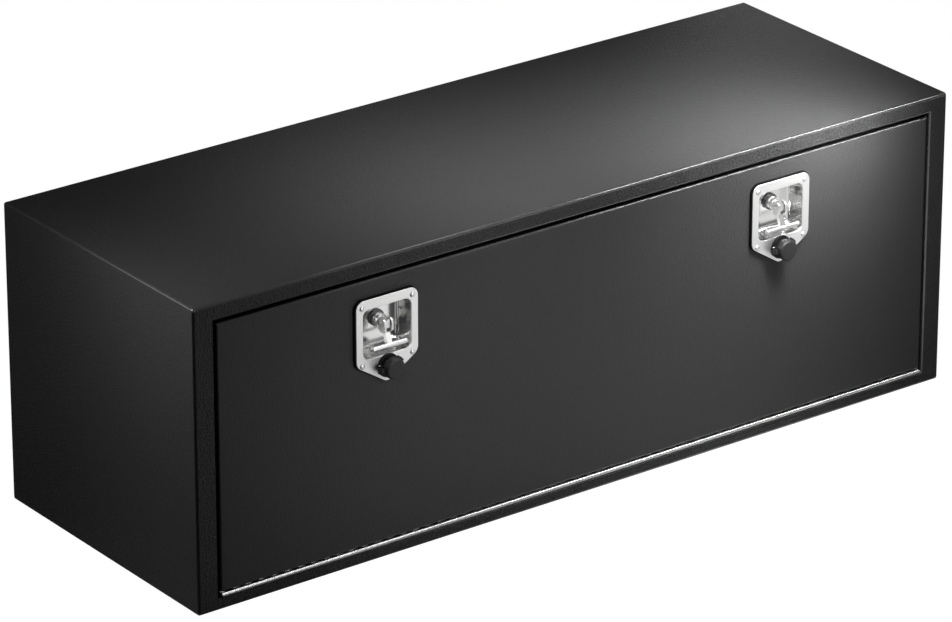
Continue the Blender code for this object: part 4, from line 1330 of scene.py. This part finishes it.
@dataclass
class Latch:
    """One folding T-handle latch with its pan, lock and flip cover."""

    shop: Workshop
    rivet_pattern: Pattern
    side: str
    x: float
    spindle_height: float = 0.3283
    lock_height: float = 0.2713
    plate_rear: float = -0.2198
    plate_width: float = 0.096
    plate_top: float = 0.0392
    plate_shoulder: float = 0.0493
    plate_tip: float = 0.0803
    shoulder_radius: float = 0.014
    tip_radius: float = 0.010
    top_radius: float = 0.012
    sheet: float = 0.0018
    plate_edge: float = 0.0007
    recess_width: float = 0.0744
    recess_top: float = 0.0258
    recess_bottom: float = 0.0419
    recess_depth: float = 0.025
    recess_radius: float = 0.0095
    recess_draft: float = 0.0035
    rim_radius: float = 0.0012
    floor_radius: float = 0.0045
    door_clearance: float = 0.0008
    door_sheet: float = 0.0015
    gasket_thickness: float = 0.0032
    gasket_margin: float = 0.0013
    rivet_half: float = 0.0391
    rivet_above: float = 0.0293
    rivet_below: float = 0.0497
    rivet_seed: int = 3
    lock_body_radius: float = 0.0085
    bush_radius: float = 0.008
    corner_steps: int = 10
    edge_steps: int = 4
    rim_steps: int = 5
    floor_steps: int = 8
    lock_facets: int = 48
    rivet_facets: int = 16

    @property
    def plate_front(self) -> float:
        """The plane of the plate's face."""
        return self.plate_rear - self.sheet

    @property
    def floor_front(self) -> float:
        """The plane of the recess's floor."""
        return self.plate_front + self.recess_depth

    @property
    def rivet(self) -> Rivet:
        """The rivet that holds plate, gasket and door together."""
        return Rivet(self.sheet + 2 * SEAT + self.gasket_thickness + self.door_sheet + SEAT)

    def named(self, part: str) -> str:
        """A piece's or node's name on this side."""
        return f"{self.side}_{part}"

    def plate_ring(self, margin: float, depth: float) -> Ring:
        """The plate's outline: square at the top, sloping to a round tip at the bottom.

        Args:
            margin: How much wider it is.
            depth: Where it lies.

        Returns:
            The ring.
        """
        half, middle = self.plate_width / 2 + margin, self.spindle_height
        low = (middle - self.plate_shoulder - margin / 2, self.shoulder_radius + margin)
        tip = (middle - self.plate_tip - margin, self.tip_radius + margin)
        high = (middle + self.plate_top + margin, self.top_radius + margin)
        left, right = self.x - half, self.x + half
        corners = [(left, *low), (self.x, *tip), (right, *low), (right, *high), (left, *high)]
        return lay(filleted(corners, self.corner_steps), Axis.Y, depth)

    def recess_outline(self, margin: float) -> Outline:
        """The recess's rounded rectangle.

        Args:
            margin: How much wider it is.

        Returns:
            Its outline.
        """
        half, middle = self.recess_width / 2 + margin, self.spindle_height
        low, high = middle - self.recess_bottom - margin, middle + self.recess_top + margin
        radius = self.recess_radius + margin
        return rectangle(self.x - half, self.x + half, low, high, radius, self.corner_steps)

    def recess_rings(self, section: Sequence[Point]) -> list[Ring]:
        """The recess's outline at each margin and depth."""
        return [lay(self.recess_outline(margin), Axis.Y, depth) for margin, depth in section]

    def bore_ring(self, margin: float, depth: float) -> Ring:
        """The bush's hole, its points in the directions of the recess's outline.

        Args:
            margin: The margin of that outline.
            depth: Where the hole lies.

        Returns:
            The ring.
        """
        middle = Vector((self.x, self.spindle_height))
        radius = self.bush_radius + 2 * SEAT
        away = [(Vector(at) - middle).normalized() * radius for at in self.recess_outline(margin)]
        return lay([tuple(middle + step) for step in away], Axis.Y, depth)

    def small_holes(self) -> list[Outline]:
        """The holes for the lock and the rivets.

        Returns:
            Their outlines.
        """
        radius = self.lock_body_radius + 2 * SEAT
        lock = circle((self.x, self.lock_height), radius, self.lock_facets)
        places = [
            (self.x + across, self.spindle_height + up)
            for up in (self.rivet_above, -self.rivet_below)
            for across in (-self.rivet_half, self.rivet_half)
        ]
        hole, facets = self.rivet.hole, self.rivet_facets
        return [lock, *(circle(place, hole, facets) for place in places)]

    def door_holes(self) -> list[Outline]:
        """The window and the small holes in the door."""
        return [self.recess_outline(self.sheet + self.door_clearance), *self.small_holes()]

    def pan(self) -> Shape:
        """The pressed plate, drawn back into a recess with a round rim and floor.

        Returns:
            Its closed mesh.
        """
        edge, rim, sheet, draft = self.plate_edge, self.rim_radius, self.sheet, self.recess_draft
        front, rear, floor = self.plate_front, self.plate_rear, self.floor_front
        outer = [
            self.plate_ring(edge * (out - 1), front + edge * back)
            for out, back in round_over(self.edge_steps)
        ]
        outer.append(self.plate_ring(0.0, rear))

        rounding = round_over(self.rim_steps)
        walls = [(rim * (1 - out), front + rim * back) for out, back in rounding]
        soft = self.floor_radius
        for across, deep in arc((0, 0), 1, 0, QUARTER, self.floor_steps):
            walls.append((-draft + soft * (across - 1), floor - soft * (1 - deep)))
        behind: list[Point] = []
        soft += sheet
        for across, deep in arc((0, 0), 1, QUARTER, 0, self.floor_steps):
            margin = sheet - draft + soft * (across - 1)
            behind.append((margin, floor + sheet - soft * (1 - deep)))
        bore = [self.bore_ring(walls[-1][0], depth) for depth in (floor, floor + sheet)]
        inside = [*self.recess_rings(walls), *bore, *self.recess_rings([*behind, (sheet, rear)])]
        holes = [pushed(outline, Axis.Y, front, rear) for outline in self.small_holes()]
        return walled(outer, [inside, *holes])

    def gasket(self) -> Shape:
        """The rubber sheet between the plate and the door.

        Returns:
            Its closed mesh.
        """
        near = self.plate_rear + SEAT
        far = near + self.gasket_thickness
        outer = [self.plate_ring(self.gasket_margin, depth) for depth in (near, far)]
        return walled(outer, [pushed(hole, Axis.Y, near, far) for hole in self.door_holes()])

    def rivets(self) -> bpy.types.Object:
        """The four rivets as one piece.

        Returns:
            The piece, not yet on its body.
        """
        model = shape_object("rivet_pattern", self.rivet.solid())
        middle = self.spindle_height + (self.rivet_above - self.rivet_below) / 2
        made = self.rivet_pattern.grow(self.named("plate_rivets"), {
            "Material": self.shop.paint.of(BRIGHT_STEEL),
            "Rivet": model,
            "Across": 2 * self.rivet_half,
            "Up": self.rivet_above + self.rivet_below,
            "Seed": self.rivet_seed,
            "Centre": (self.x, self.plate_front, middle),
        })
        discard(model)
        return made

    def build(self) -> None:
        """Makes the pan, gasket and rivets, and the two mechanisms."""
        shop, named = self.shop, self.named
        shop.settle(named("plate"), self.pan(), PLATE_STEEL, "door", named("latch_pan"))
        shop.settle(named("gasket"), self.gasket(), RUBBER, "door", named("latch_gasket"))
        nodes = [named(f"latch_rivet_{number}") for number in range(1, 5)]
        shop.place(self.rivets(), BRIGHT_STEEL, "door", *nodes)
        TurnHandle(self).build()
        FlipLock(self).build()


@dataclass
class TurnHandle:
    """The spindle in its bush, the folding T-handle on its pin, and the cam behind."""

    latch: Latch
    pin_behind: float = 0.003
    handle_drop: float = 0.0286
    bar_length: float = 0.057
    bar_radius: float = 0.0036
    stem_width: float = 0.0074
    stem_thickness: float = 0.0064
    fork_width: float = 0.0137
    fork_length: float = 0.0125
    fork_slot: float = 0.0082
    slot_depth: float = 0.0105
    web: float = 0.0024
    tongue_width: float = 0.0070
    tongue_radius: float = 0.0060
    tongue_front: float = 0.0045
    pin_radius: float = 0.002
    pin_head: float = 0.0027
    pin_crown: float = 0.0006
    pin_flat_share: float = 0.6
    pin_flat_drop: float = 0.0001
    flange_radius: float = 0.0113
    flange_height: float = 0.003
    flange_edge: float = 0.0008
    swage_radius: float = 0.00965
    swage_length: float = 0.0012
    head_radius: float = 0.0088
    head_gap: float = 0.00045
    head_edge: float = 0.0006
    groove_depth: float = 0.0008
    groove_half: float = 0.0003
    shaft_radius: float = 0.006
    cam_front: float = -0.1855
    cam_rear: float = -0.1825
    square: float = 0.0080
    thread_radius: float = 0.0036
    thread_pitch: float = 0.0010
    thread_length: float = 0.0085
    thread_depth: float = 0.0004
    runout: float = 0.0005
    handle_edge: float = 0.0006
    facets: int = 56
    small_facets: int = 28
    bore_facets: int = 24
    bar_facets: int = 40
    bar_end_rings: int = 8
    fork_steps: int = 24
    oval_steps: int = 16
    edge_steps: int = 4

    @property
    def pin_depth(self) -> float:
        """How deep the pin lies."""
        return self.latch.plate_front + self.pin_behind

    @property
    def bush_front(self) -> float:
        """The face of the bush's flange."""
        return self.latch.floor_front - SEAT - self.flange_height

    @property
    def centre(self) -> Point:
        """The spindle's axis."""
        return (self.latch.x, self.latch.spindle_height)

    def pin_bore(self, width: float) -> Shape:
        """A tool for the pin's hole.

        Args:
            width: The width that it goes through.

        Returns:
            Its closed mesh.
        """
        (x, z), reach = self.centre, width / 2 + OVERRUN
        place, radius = (self.pin_depth, z), self.pin_radius + 2 * SEAT
        return rod(Axis.X, place, radius, x - reach, x + reach, self.bore_facets)

    def bush(self) -> Shape:
        """The bearing in the recess's floor, its flange rounded.

        Returns:
            Its closed mesh.
        """
        bore, edge, neck = self.shaft_radius + SEAT, self.flange_edge, self.latch.bush_radius
        front, wide, rear = self.bush_front, self.flange_radius, self.cam_front - SEAT
        foot, behind = front + self.flange_height, self.latch.floor_front + self.latch.sheet + SEAT
        profile = [(bore, front)]
        for out, back in round_over(self.edge_steps):
            profile.append((wide - edge + edge * out, front + edge * back))
        profile += [(wide, foot), (neck, foot), (neck, behind), (self.swage_radius, behind)]
        profile += [(neck, behind + self.swage_length), (neck, rear), (bore, rear)]
        return turned(profile, Axis.Y, self.centre, self.facets, closed=True)

    def spindle(self) -> Shape:
        """Grooved head, tongue with its pin hole, square and thread.

        Returns:
            Its closed mesh.
        """
        front, end = self.pin_depth + self.fork_width / 2 + self.head_gap, self.cam_front - SEAT
        behind, head, shaft = self.bush_front - SEAT, self.head_radius, self.shaft_radius
        groove, edge = (front + behind) / 2, self.head_edge
        cut, narrow = self.groove_depth, self.groove_half
        profile = [(0, front), (head - edge, front), (head - edge / 3, front + edge / 3)]
        profile += [(head, front + edge), (head, groove - cut), (head - cut, groove - narrow)]
        profile += [(head - cut, groove + narrow), (head, groove + cut), (head, behind)]
        profile += [(shaft, behind), (shaft, end), (0, end)]
        (x, z), half, start = self.centre, self.square / 2, self.cam_front - OVERRUN
        square = rectangle(x - half, x + half, z - half, z + half)
        wide = self.tongue_width / 2
        reach = self.tongue_radius - wide
        oval = arc((x, z + reach), wide, 0, HALF, self.oval_steps)
        oval += arc((x, z - reach), wide, HALF, TURN, self.oval_steps)
        tongue = prism(oval, Axis.Y, self.pin_depth - self.tongue_front, front + OVERRUN)
        block = prism(square, Axis.Y, start, self.cam_rear)
        whole = turned(profile, Axis.Y, self.centre, self.facets)
        whole = carve(whole, Cut.ADD, block, self.thread(start), tongue)
        return carve(whole, Cut.TAKE, self.pin_bore(self.tongue_width))

    def thread(self, start: float) -> Shape:
        """A threaded end whose ridges follow its pitch.

        Args:
            start: Where it begins, inside the square.

        Returns:
            The solid.
        """
        end, crest = self.cam_rear + self.thread_length, self.thread_radius
        root = crest - self.thread_depth
        profile = [(0, start), (root, start)]
        place = self.cam_rear + SEAT
        while place + self.thread_pitch < end - self.runout:
            profile += [(root, place), (crest, place + self.thread_pitch / 2)]
            place += self.thread_pitch
        profile += [(root, place), (crest - 2 * self.thread_depth, end), (0, end)]
        return turned(profile, Axis.Y, self.centre, self.small_facets)

    def handle(self) -> Shape:
        """A fork round the pin, a cranked stem and a round cross bar.

        Returns:
            Its closed mesh.
        """
        (x, z), deep, wide = self.centre, self.pin_depth, self.fork_width
        fork_radius, half_stem, half_slot = wide / 2, self.stem_thickness / 2, self.fork_slot / 2
        foot, bar_height = z - self.fork_length, z - self.handle_drop
        bar_depth = self.latch.plate_front - SEAT - self.bar_radius
        side = arc((deep, z), fork_radius, 0, HALF, self.fork_steps)
        side += [(deep - fork_radius, foot + fork_radius / 2), (deep - half_stem, foot)]
        side += [(deep + half_stem, foot), (deep + fork_radius, foot + fork_radius / 2)]
        fork = prism(side, Axis.X, x - fork_radius, x + fork_radius)
        top, half = (foot + z - self.slot_depth) / 2, self.stem_width / 2
        crank = [(deep - half_stem, top), (bar_depth - half_stem, bar_height)]
        crank += [(bar_depth + half_stem, bar_height), (deep + half_stem, top)]
        stem = prism(crank, Axis.X, x - half, x + half)
        bar = domed_rod(
            Axis.X, (bar_depth, bar_height), self.bar_radius, x, self.bar_length,
            self.bar_end_rings, self.bar_facets,
        )
        whole = carve(fork, Cut.ADD, stem, bar)
        low = (x, z - self.slot_depth + half_slot)
        outline = arc(low, half_slot, HALF, TURN, self.oval_steps)
        outline += [(x + half_slot, z + wide), (x - half_slot, z + wide)]
        slot = prism(outline, Axis.Y, deep - wide, deep + fork_radius - self.web)
        clear = z - self.tongue_radius - self.web / 2
        gate = rectangle(x - half_slot, x + half_slot, clear, z + wide)
        return carve(
            whole, Cut.TAKE, slot, prism(gate, Axis.Y, deep, deep + wide), self.pin_bore(wide)
        )

    def pin(self) -> Shape:
        """The riveted pin with two domed heads.

        Returns:
            Its closed mesh.
        """
        (x, z), face, head = self.centre, self.fork_width / 2 + SEAT, self.pin_head
        end, flat = face + self.pin_crown, head * self.pin_flat_share
        profile = [(0, -end), (flat, -end + self.pin_flat_drop)]
        profile += [(head, -face), (self.pin_radius, -face)]
        return turned(both_ends(profile, x), Axis.X, (self.pin_depth, z), self.small_facets)

    def build(self) -> None:
        """Makes every piece of the mechanism."""
        shop, named = self.latch.shop, self.latch.named
        turning, folding = named("spindle_body"), named("handle_body")
        shop.settle(named("bearing"), self.bush(), DARK_STEEL, "door", named("spindle_bush"))
        shop.settle(named("spindle_shaft"), self.spindle(), BRIGHT_STEEL, turning, named("spindle"))
        shop.settle(
            named("folding_handle"), self.handle(), BRIGHT_STEEL, folding, named("t_handle"),
            bevel=self.handle_edge,
        )
        shop.settle(named("fork_pin"), self.pin(), BRIGHT_STEEL, folding, named("handle_pin"))
        shop.dress(ZINC, named("latch_cam"), named("cam_nut"))


@dataclass
class FlipLock:
    """The keyed lock in its collar, under a cover on a vertical pin."""

    latch: Latch
    head_radius: float = 0.010
    head_height: float = 0.015
    head_edge: float = 0.0008
    edge_flat: float = 0.0002
    bore_edge: float = 0.0003
    body_length: float = 0.0275
    plug_radius: float = 0.006
    plug_sunk: float = 0.0005
    plug_edge: float = 0.0004
    stud_radius: float = 0.003
    stud_length: float = 0.002
    stud_head: float = 0.0042
    stud_head_height: float = 0.001
    keyway_half_width: float = 0.0007
    keyway_half_height: float = 0.0042
    keyway_depth: float = 0.004
    collar_radius: float = 0.012
    collar_height: float = 0.0097
    collar_edge: float = 0.0005
    base_radius: float = 0.0160
    base_height: float = 0.0030
    cover_radius: float = 0.0143
    cover_depth: float = 0.0100
    cover_chamfer: float = 0.0030
    cover_dome: float = 0.0003
    dome_inset: float = 0.002
    dome_drop: float = 0.0002
    hollow_radius: float = 0.0113
    roof: float = 0.0035
    pin_offset: float = 0.0173
    ear_radius: float = 0.0023
    ear_thickness: float = 0.0022
    tab_width: float = 0.0058
    pin_radius: float = 0.0010
    pin_stand: float = 0.0004
    pin_flat_share: float = 0.7
    pin_flat_drop: float = 0.0002
    pin_drop: float = 0.0005
    lug_reach: float = 0.0028
    lug_sweep: float = math.radians(34)
    lug_direction: float = math.radians(45)
    lug_depth: float = 0.0045
    plastic_edge: float = 0.0003
    barrel_facets: int = 56
    plug_facets: int = 48
    collar_facets: int = 64
    cover_facets: int = 72
    pin_facets: int = 20
    round_steps: int = 8
    lug_steps: int = 10

    @property
    def centre(self) -> Point:
        """The lock's axis."""
        return (self.latch.x, self.latch.lock_height)

    @property
    def lock_front(self) -> float:
        """The face of the lock's head."""
        return self.latch.plate_front - self.head_height

    @property
    def collar_front(self) -> float:
        """The front of the collar."""
        return self.latch.plate_front - self.collar_height

    @property
    def pin_depth(self) -> float:
        """How deep the cover's pin lies."""
        return self.collar_front + SEAT + self.ear_radius

    def pin_bore(self, reach: float) -> Shape:
        """A tool for the pin's hole.

        Args:
            reach: How far the hole goes up and down from the middle.

        Returns:
            Its closed mesh.
        """
        (x, z), radius = self.centre, self.pin_radius + 2 * SEAT
        low, high = z - reach - OVERRUN, z + reach + OVERRUN
        place = (x - self.pin_offset, self.pin_depth)
        return rod(Axis.Z, place, radius, low, high, self.pin_facets)

    def barrel(self) -> Shape:
        """The lock's housing with a rounded head.

        Returns:
            Its closed mesh.
        """
        bore, seat, lip = self.plug_radius + SEAT, self.latch.plate_front - SEAT, self.bore_edge
        front, rear = self.lock_front, self.lock_front + self.head_height + self.body_length
        wide, body, edge = self.head_radius, self.latch.lock_body_radius, self.head_edge
        profile = [(bore, front + lip), (bore + lip, front), (wide - edge, front)]
        profile += [(wide - self.edge_flat, front + lip), (wide, front + edge), (wide, seat)]
        profile += [(body, seat), (body, rear), (bore, rear)]
        return turned(profile, Axis.Y, self.centre, self.barrel_facets, closed=True)

    def plug(self) -> Shape:
        """The keyed plug with its stud behind.

        Returns:
            Its closed mesh.
        """
        front, wide, edge = self.lock_front + self.plug_sunk, self.plug_radius, self.plug_edge
        shoulder = self.lock_front + self.head_height + self.body_length + SEAT
        stud, cap = self.stud_radius, self.stud_head
        head = shoulder + self.stud_length + 2 * SEAT
        end = head + self.stud_head_height
        profile = [(0, front), (wide - edge, front), (wide, front + edge), (wide, shoulder)]
        profile += [(stud, shoulder), (stud, head), (cap, head), (cap, end), (0, end)]
        (x, z), half, tall = self.centre, self.keyway_half_width, self.keyway_half_height
        key = rectangle(x - half, x + half, z - tall, z + tall)
        keyway = prism(key, Axis.Y, front - OVERRUN, front + self.keyway_depth)
        solid = turned(profile, Axis.Y, self.centre, self.plug_facets)
        return carve(solid, Cut.TAKE, keyway)

    def ear_outline(self, front: float, inner: float) -> Outline:
        """The side of an ear or tab that reaches round the pin.

        Args:
            front: Its front plane.
            inner: Where it ends, inside what it grows from.

        Returns:
            The outline.
        """
        radius = self.ear_radius
        outer, rear = self.latch.x - self.pin_offset - radius, self.pin_depth + radius
        corners = [(outer, front, radius), (inner, front, 0), (inner, rear, 0)]
        return filleted([*corners, (outer, rear, radius)], self.round_steps)

    def collar(self) -> Shape:
        """The plastic ring round the lock's head, with two ears for the pin.

        Returns:
            Its closed mesh.
        """
        (x, z), front, seat = self.centre, self.collar_front, self.latch.plate_front - SEAT
        wide, base, edge = self.collar_radius, self.base_radius, self.collar_edge
        step = seat - self.base_height
        profile = [(wide - edge, front), (wide, front + edge), (wide, step - edge)]
        profile += [(base - edge, step), (base, step + edge), (base, seat)]
        ring = turned(profile, Axis.Y, self.centre, self.collar_facets)
        ear = self.ear_outline(self.pin_depth - self.ear_radius, x - self.head_radius)
        near = self.tab_width / 2 + SEAT
        far = near + self.ear_thickness
        ears = [prism(ear, Axis.Z, z - far, z - near), prism(ear, Axis.Z, z + near, z + far)]
        low, high, hole = front - OVERRUN, seat + OVERRUN, self.head_radius + 2 * SEAT
        bore = rod(Axis.Y, self.centre, hole, low, high, self.collar_facets)
        return carve(carve(ring, Cut.ADD, *ears), Cut.TAKE, bore, self.pin_bore(far))

    def cover(self) -> Shape:
        """The cap with its tab round the pin and its thumb lug.

        Returns:
            Its closed mesh.
        """
        (x, z), rear = self.centre, self.collar_front - SEAT
        front, wide, hollow = rear - self.cover_depth, self.cover_radius, self.hollow_radius
        chamfer, inset, drop = self.cover_chamfer, self.dome_inset, self.dome_drop
        roof, flat, wall = front + self.roof, wide - chamfer, (wide + hollow) / 2
        profile = [(0, front - self.cover_dome), (flat - inset, front - drop)]
        for out, back in round_over(self.round_steps):
            profile.append((flat + chamfer * out, front + chamfer * back))
        profile += [(wide, rear), (hollow, rear), (hollow, roof), (0, roof)]
        cap = turned(profile, Axis.Y, self.centre, self.cover_facets)
        tab = self.ear_outline(front + chamfer + self.cover_depth / 3, x - wall)
        half, spread = self.tab_width / 2, self.lug_sweep / 2
        start, end = self.lug_direction - spread, self.lug_direction + spread
        lug = arc(self.centre, wide + self.lug_reach, start, end, self.lug_steps)
        lug += arc(self.centre, wall, end, start, self.lug_steps)
        tools = [
            prism(tab, Axis.Z, z - half, z + half),
            prism(lug, Axis.Y, rear - self.lug_depth, rear - SEAT),
        ]
        return carve(carve(cap, Cut.ADD, *tools), Cut.TAKE, self.pin_bore(half))

    def pin(self) -> Shape:
        """The cover's vertical pin with domed ends.

        Returns:
            Its closed mesh.
        """
        (x, z), radius = self.centre, self.pin_radius
        reach = self.tab_width / 2 + SEAT + self.ear_thickness + self.pin_stand
        end = [(0, -reach), (radius * self.pin_flat_share, -reach + self.pin_flat_drop)]
        end.append((radius, -reach + self.pin_drop))
        place = (x - self.pin_offset, self.pin_depth)
        return turned(both_ends(end, z), Axis.Z, place, self.pin_facets)

    def build(self) -> None:
        """Makes every piece of the lock."""
        shop, named, edge = self.latch.shop, self.latch.named, self.plastic_edge
        turning, flipping = named("lock_body"), named("cover_body")
        shop.settle(named("lock_housing"), self.barrel(), ZINC, "door", named("lock_barrel"))
        shop.settle(named("keyed_plug"), self.plug(), BRASS, turning, named("lock_plug"))
        # The collar's darker finish is painted shade round the lock.
        shop.settle(
            named("lock_collar"), self.collar(), SHADE_DARKENED_COLLAR_PLASTIC, "door", named("cover_collar"),
            bevel=edge,
        )
        shop.settle(
            named("flip_cover"), self.cover(), CAP_PLASTIC, flipping, named("lock_cover"),
            bevel=edge,
        )
        shop.settle(named("flip_pin"), self.pin(), BRIGHT_STEEL, "door", named("cover_pin"))
        shop.dress(ZINC, named("lock_nut"), named("lock_tail"))


# Studio


@dataclass(frozen=True)
class Softbox:
    """One soft area lamp that faces a target."""

    name: str
    place: tuple[float, float, float]
    target: tuple[float, float, float]
    wide: float
    tall: float
    power: float
    spread: float = 180.0
    mirrored_only: bool = False

    def hang(self) -> None:
        """Puts the lamp in the scene."""
        lamp = bpy.data.lights.new(self.name, "AREA")
        lamp.shape = "RECTANGLE"
        lamp.size, lamp.size_y, lamp.energy = self.wide, self.tall, self.power
        lamp.spread = math.radians(self.spread)
        made = bpy.data.objects.new(self.name, lamp)
        made.visible_diffuse = not self.mirrored_only
        made.location = self.place
        aim = Vector(self.target) - Vector(self.place)
        made.rotation_euler = aim.to_track_quat("-Z", "Y").to_euler()
        bpy.context.scene.collection.objects.link(made)


@dataclass
class Studio:
    """Pale floor, soft lamps and the camera at the photograph's angle."""

    length: float = 1.219
    azimuth: float = math.radians(-36.68)
    elevation: float = math.radians(23.59)
    distance: float = 6.420
    right: float = -0.0105
    up: float = 0.1384
    focal_pixels: float = 5851.0
    picture_width: float = 952.0
    sensor: float = 36.0
    farthest: float = 100.0
    world_strength: float = 0.015
    mirrored_world: float = 0.06
    floor_size: float = 30.0
    floor_drop: float = 0.0005
    floor_colour: Colour = (0.45, 0.45, 0.45)
    floor_roughness: float = 0.9
    floor_glow: float = 0.85
    glow_strength: float = 1.17
    mirrored_glow: float = 0.66
    glow_ahead: Point = (-0.22, -0.45)
    glow_rightward: Point = (-0.50, 0.10)
    softboxes: tuple[Softbox, ...] = (
        Softbox("key", (0.33, -0.44, 0.80), (0.32, -0.20, 0.42), 0.22, 0.22, 1.26, 58.0),
        Softbox("brow", (0.43, -0.46, 0.56), (0.42, -0.216, 0.40), 0.10, 0.06, 0.33, 54.0),
        Softbox("rim_right", (0.90, 0.48, 0.58), (0.45, -0.18, 0.42), 0.30, 0.25, 0.34),
        Softbox("front_middle", (-0.10, -1.10, 0.55), (-0.1, -0.2, 0.22), 0.5, 0.4, 0.76, 72.0),
        Softbox("left", (-0.95, -0.12, 0.74), (-0.61, -0.20, 0.42), 0.3, 0.3, 0.62, 80.0),
        Softbox("left_rear", (-1.50, 0.90, 0.60), (-0.61, 0.0, 0.25), 0.6, 0.6, 1.8),
        Softbox("right", (1.90, 0.10, 0.55), (0.61, 0.0, 0.20), 0.6, 0.6, 2.2),
        Softbox("back", (-0.30, 2.40, 0.90), (0.0, 0.20, 0.20), 1.0, 0.8, 2.6),
        Softbox("top_over", (-0.04, -0.18, 0.95), (0.00, -0.15, 0.42), 0.5, 0.3, 1.69, 85.0),
        Softbox("front_card", (0.30, -2.20, 1.30), (0.0, -0.20, 0.20), 3.0, 1.6, 4.0, 180.0, True),
        Softbox("edges", (2.26, -1.48, 2.77), (0.26, -0.20, 0.42), 0.95, 0.15, 25.0, 180.0, True),
    )

    def camera(self) -> None:
        """Puts the camera where the photograph was taken from."""
        az, el = self.azimuth, self.elevation
        back = Vector((math.sin(az) * math.cos(el), -math.cos(az) * math.cos(el), math.sin(el)))
        right = Vector((math.cos(az), math.sin(az), 0))
        data = bpy.data.cameras.new("photo_camera")
        data.sensor_width = self.sensor
        data.lens = self.focal_pixels / self.picture_width * self.sensor
        data.clip_end = self.farthest
        made = bpy.data.objects.new("photo_camera", data)
        place = right * self.right + back.cross(right) * self.up + back * self.distance
        made.location = place * self.length
        made.rotation_euler = (-back).to_track_quat("-Z", "Y").to_euler()
        bpy.context.scene.collection.objects.link(made)
        bpy.context.scene.camera = made

    def floor(self) -> None:
        """A pale floor that looks white and keeps a soft shadow.

        Mirrored rays see its glow only in front of the box and to its right.
        """
        shape = bmesh.new()
        bmesh.ops.create_grid(shape, x_segments=1, y_segments=1, size=self.floor_size)
        bmesh.ops.translate(shape, verts=shape.verts, vec=(0, 0, -self.floor_drop))
        made = shape_object("studio_floor", shape)
        material = bpy.data.materials.new("studio floor")
        material.use_nodes = True
        build = Nodes(material.node_tree)
        shader = build.tree.nodes["Principled BSDF"]
        shader.inputs["Base Color"].default_value = (*self.floor_colour, 1)
        shader.inputs["Roughness"].default_value = self.floor_roughness
        shader.inputs["Specular IOR Level"].default_value = 0.0
        glow = build.add("ShaderNodeEmission", {"Color": WHITE, "Strength": self.glow_strength})
        rays = build.add("ShaderNodeLightPath").outputs
        x, y, _ = build.parts(build.add("ShaderNodeTexCoord").outputs["Object"])
        card = build.math("MULTIPLY", rays["Is Glossy Ray"], build.ramp(y, *self.glow_ahead))
        card = build.math("MULTIPLY", card, build.ramp(x, *self.glow_rightward))
        mirrored = build.math("MULTIPLY", card, self.mirrored_glow)
        share = build.math("MULTIPLY_ADD", rays["Is Camera Ray"], self.floor_glow, mirrored)
        mix = {0: share, 1: shader.outputs[0], 2: glow.outputs[0]}
        surface = build.add("ShaderNodeMixShader", mix).outputs[0]
        build.feed(surface, build.tree.nodes["Material Output"].inputs["Surface"])
        made.data.materials.append(material)

    def world(self) -> None:
        """A plain dim world that is white to the camera and paler in mirrored light."""
        world = bpy.data.worlds.new("studio")
        bpy.context.scene.world = world
        world.use_nodes = True
        build = Nodes(world.node_tree)
        plain = build.tree.nodes["Background"]
        plain.inputs["Color"].default_value = WHITE
        plain.inputs["Strength"].default_value = self.world_strength
        rays = build.add("ShaderNodeLightPath").outputs
        whole = plain.outputs[0]
        for kind, strength in (("Is Glossy Ray", self.mirrored_world), ("Is Camera Ray", 1.0)):
            paler = build.add("ShaderNodeBackground", {"Color": WHITE, "Strength": strength})
            mix = {0: rays[kind], 1: whole, 2: paler.outputs[0]}
            whole = build.add("ShaderNodeMixShader", mix).outputs[0]
        build.feed(whole, build.tree.nodes["World Output"].inputs["Surface"])

    def build(self) -> None:
        """Sets up the whole studio."""
        bpy.context.scene.view_settings.view_transform = "Standard"
        self.floor()
        self.world()
        for softbox in self.softboxes:
            softbox.hang()
        self.camera()


def main() -> None:
    """Builds the tool box and its studio."""
    logging.basicConfig(level=logging.INFO, format="%(name)s: %(message)s")
    shop = Workshop(Paintwork())
    Studio().build()
    cabinet = Cabinet(shop)
    cabinet.build()
    pattern = Rivet.pattern()
    latches = [
        Latch(shop, pattern, side, x) for side, x in (("left", -LATCH_X), ("right", LATCH_X))
    ]
    Door(shop, cabinet, latches).build()
    PianoHinge(shop, cabinet.front).build()
    for latch in latches:
        latch.build()


if __name__ == "__main__":
    main()
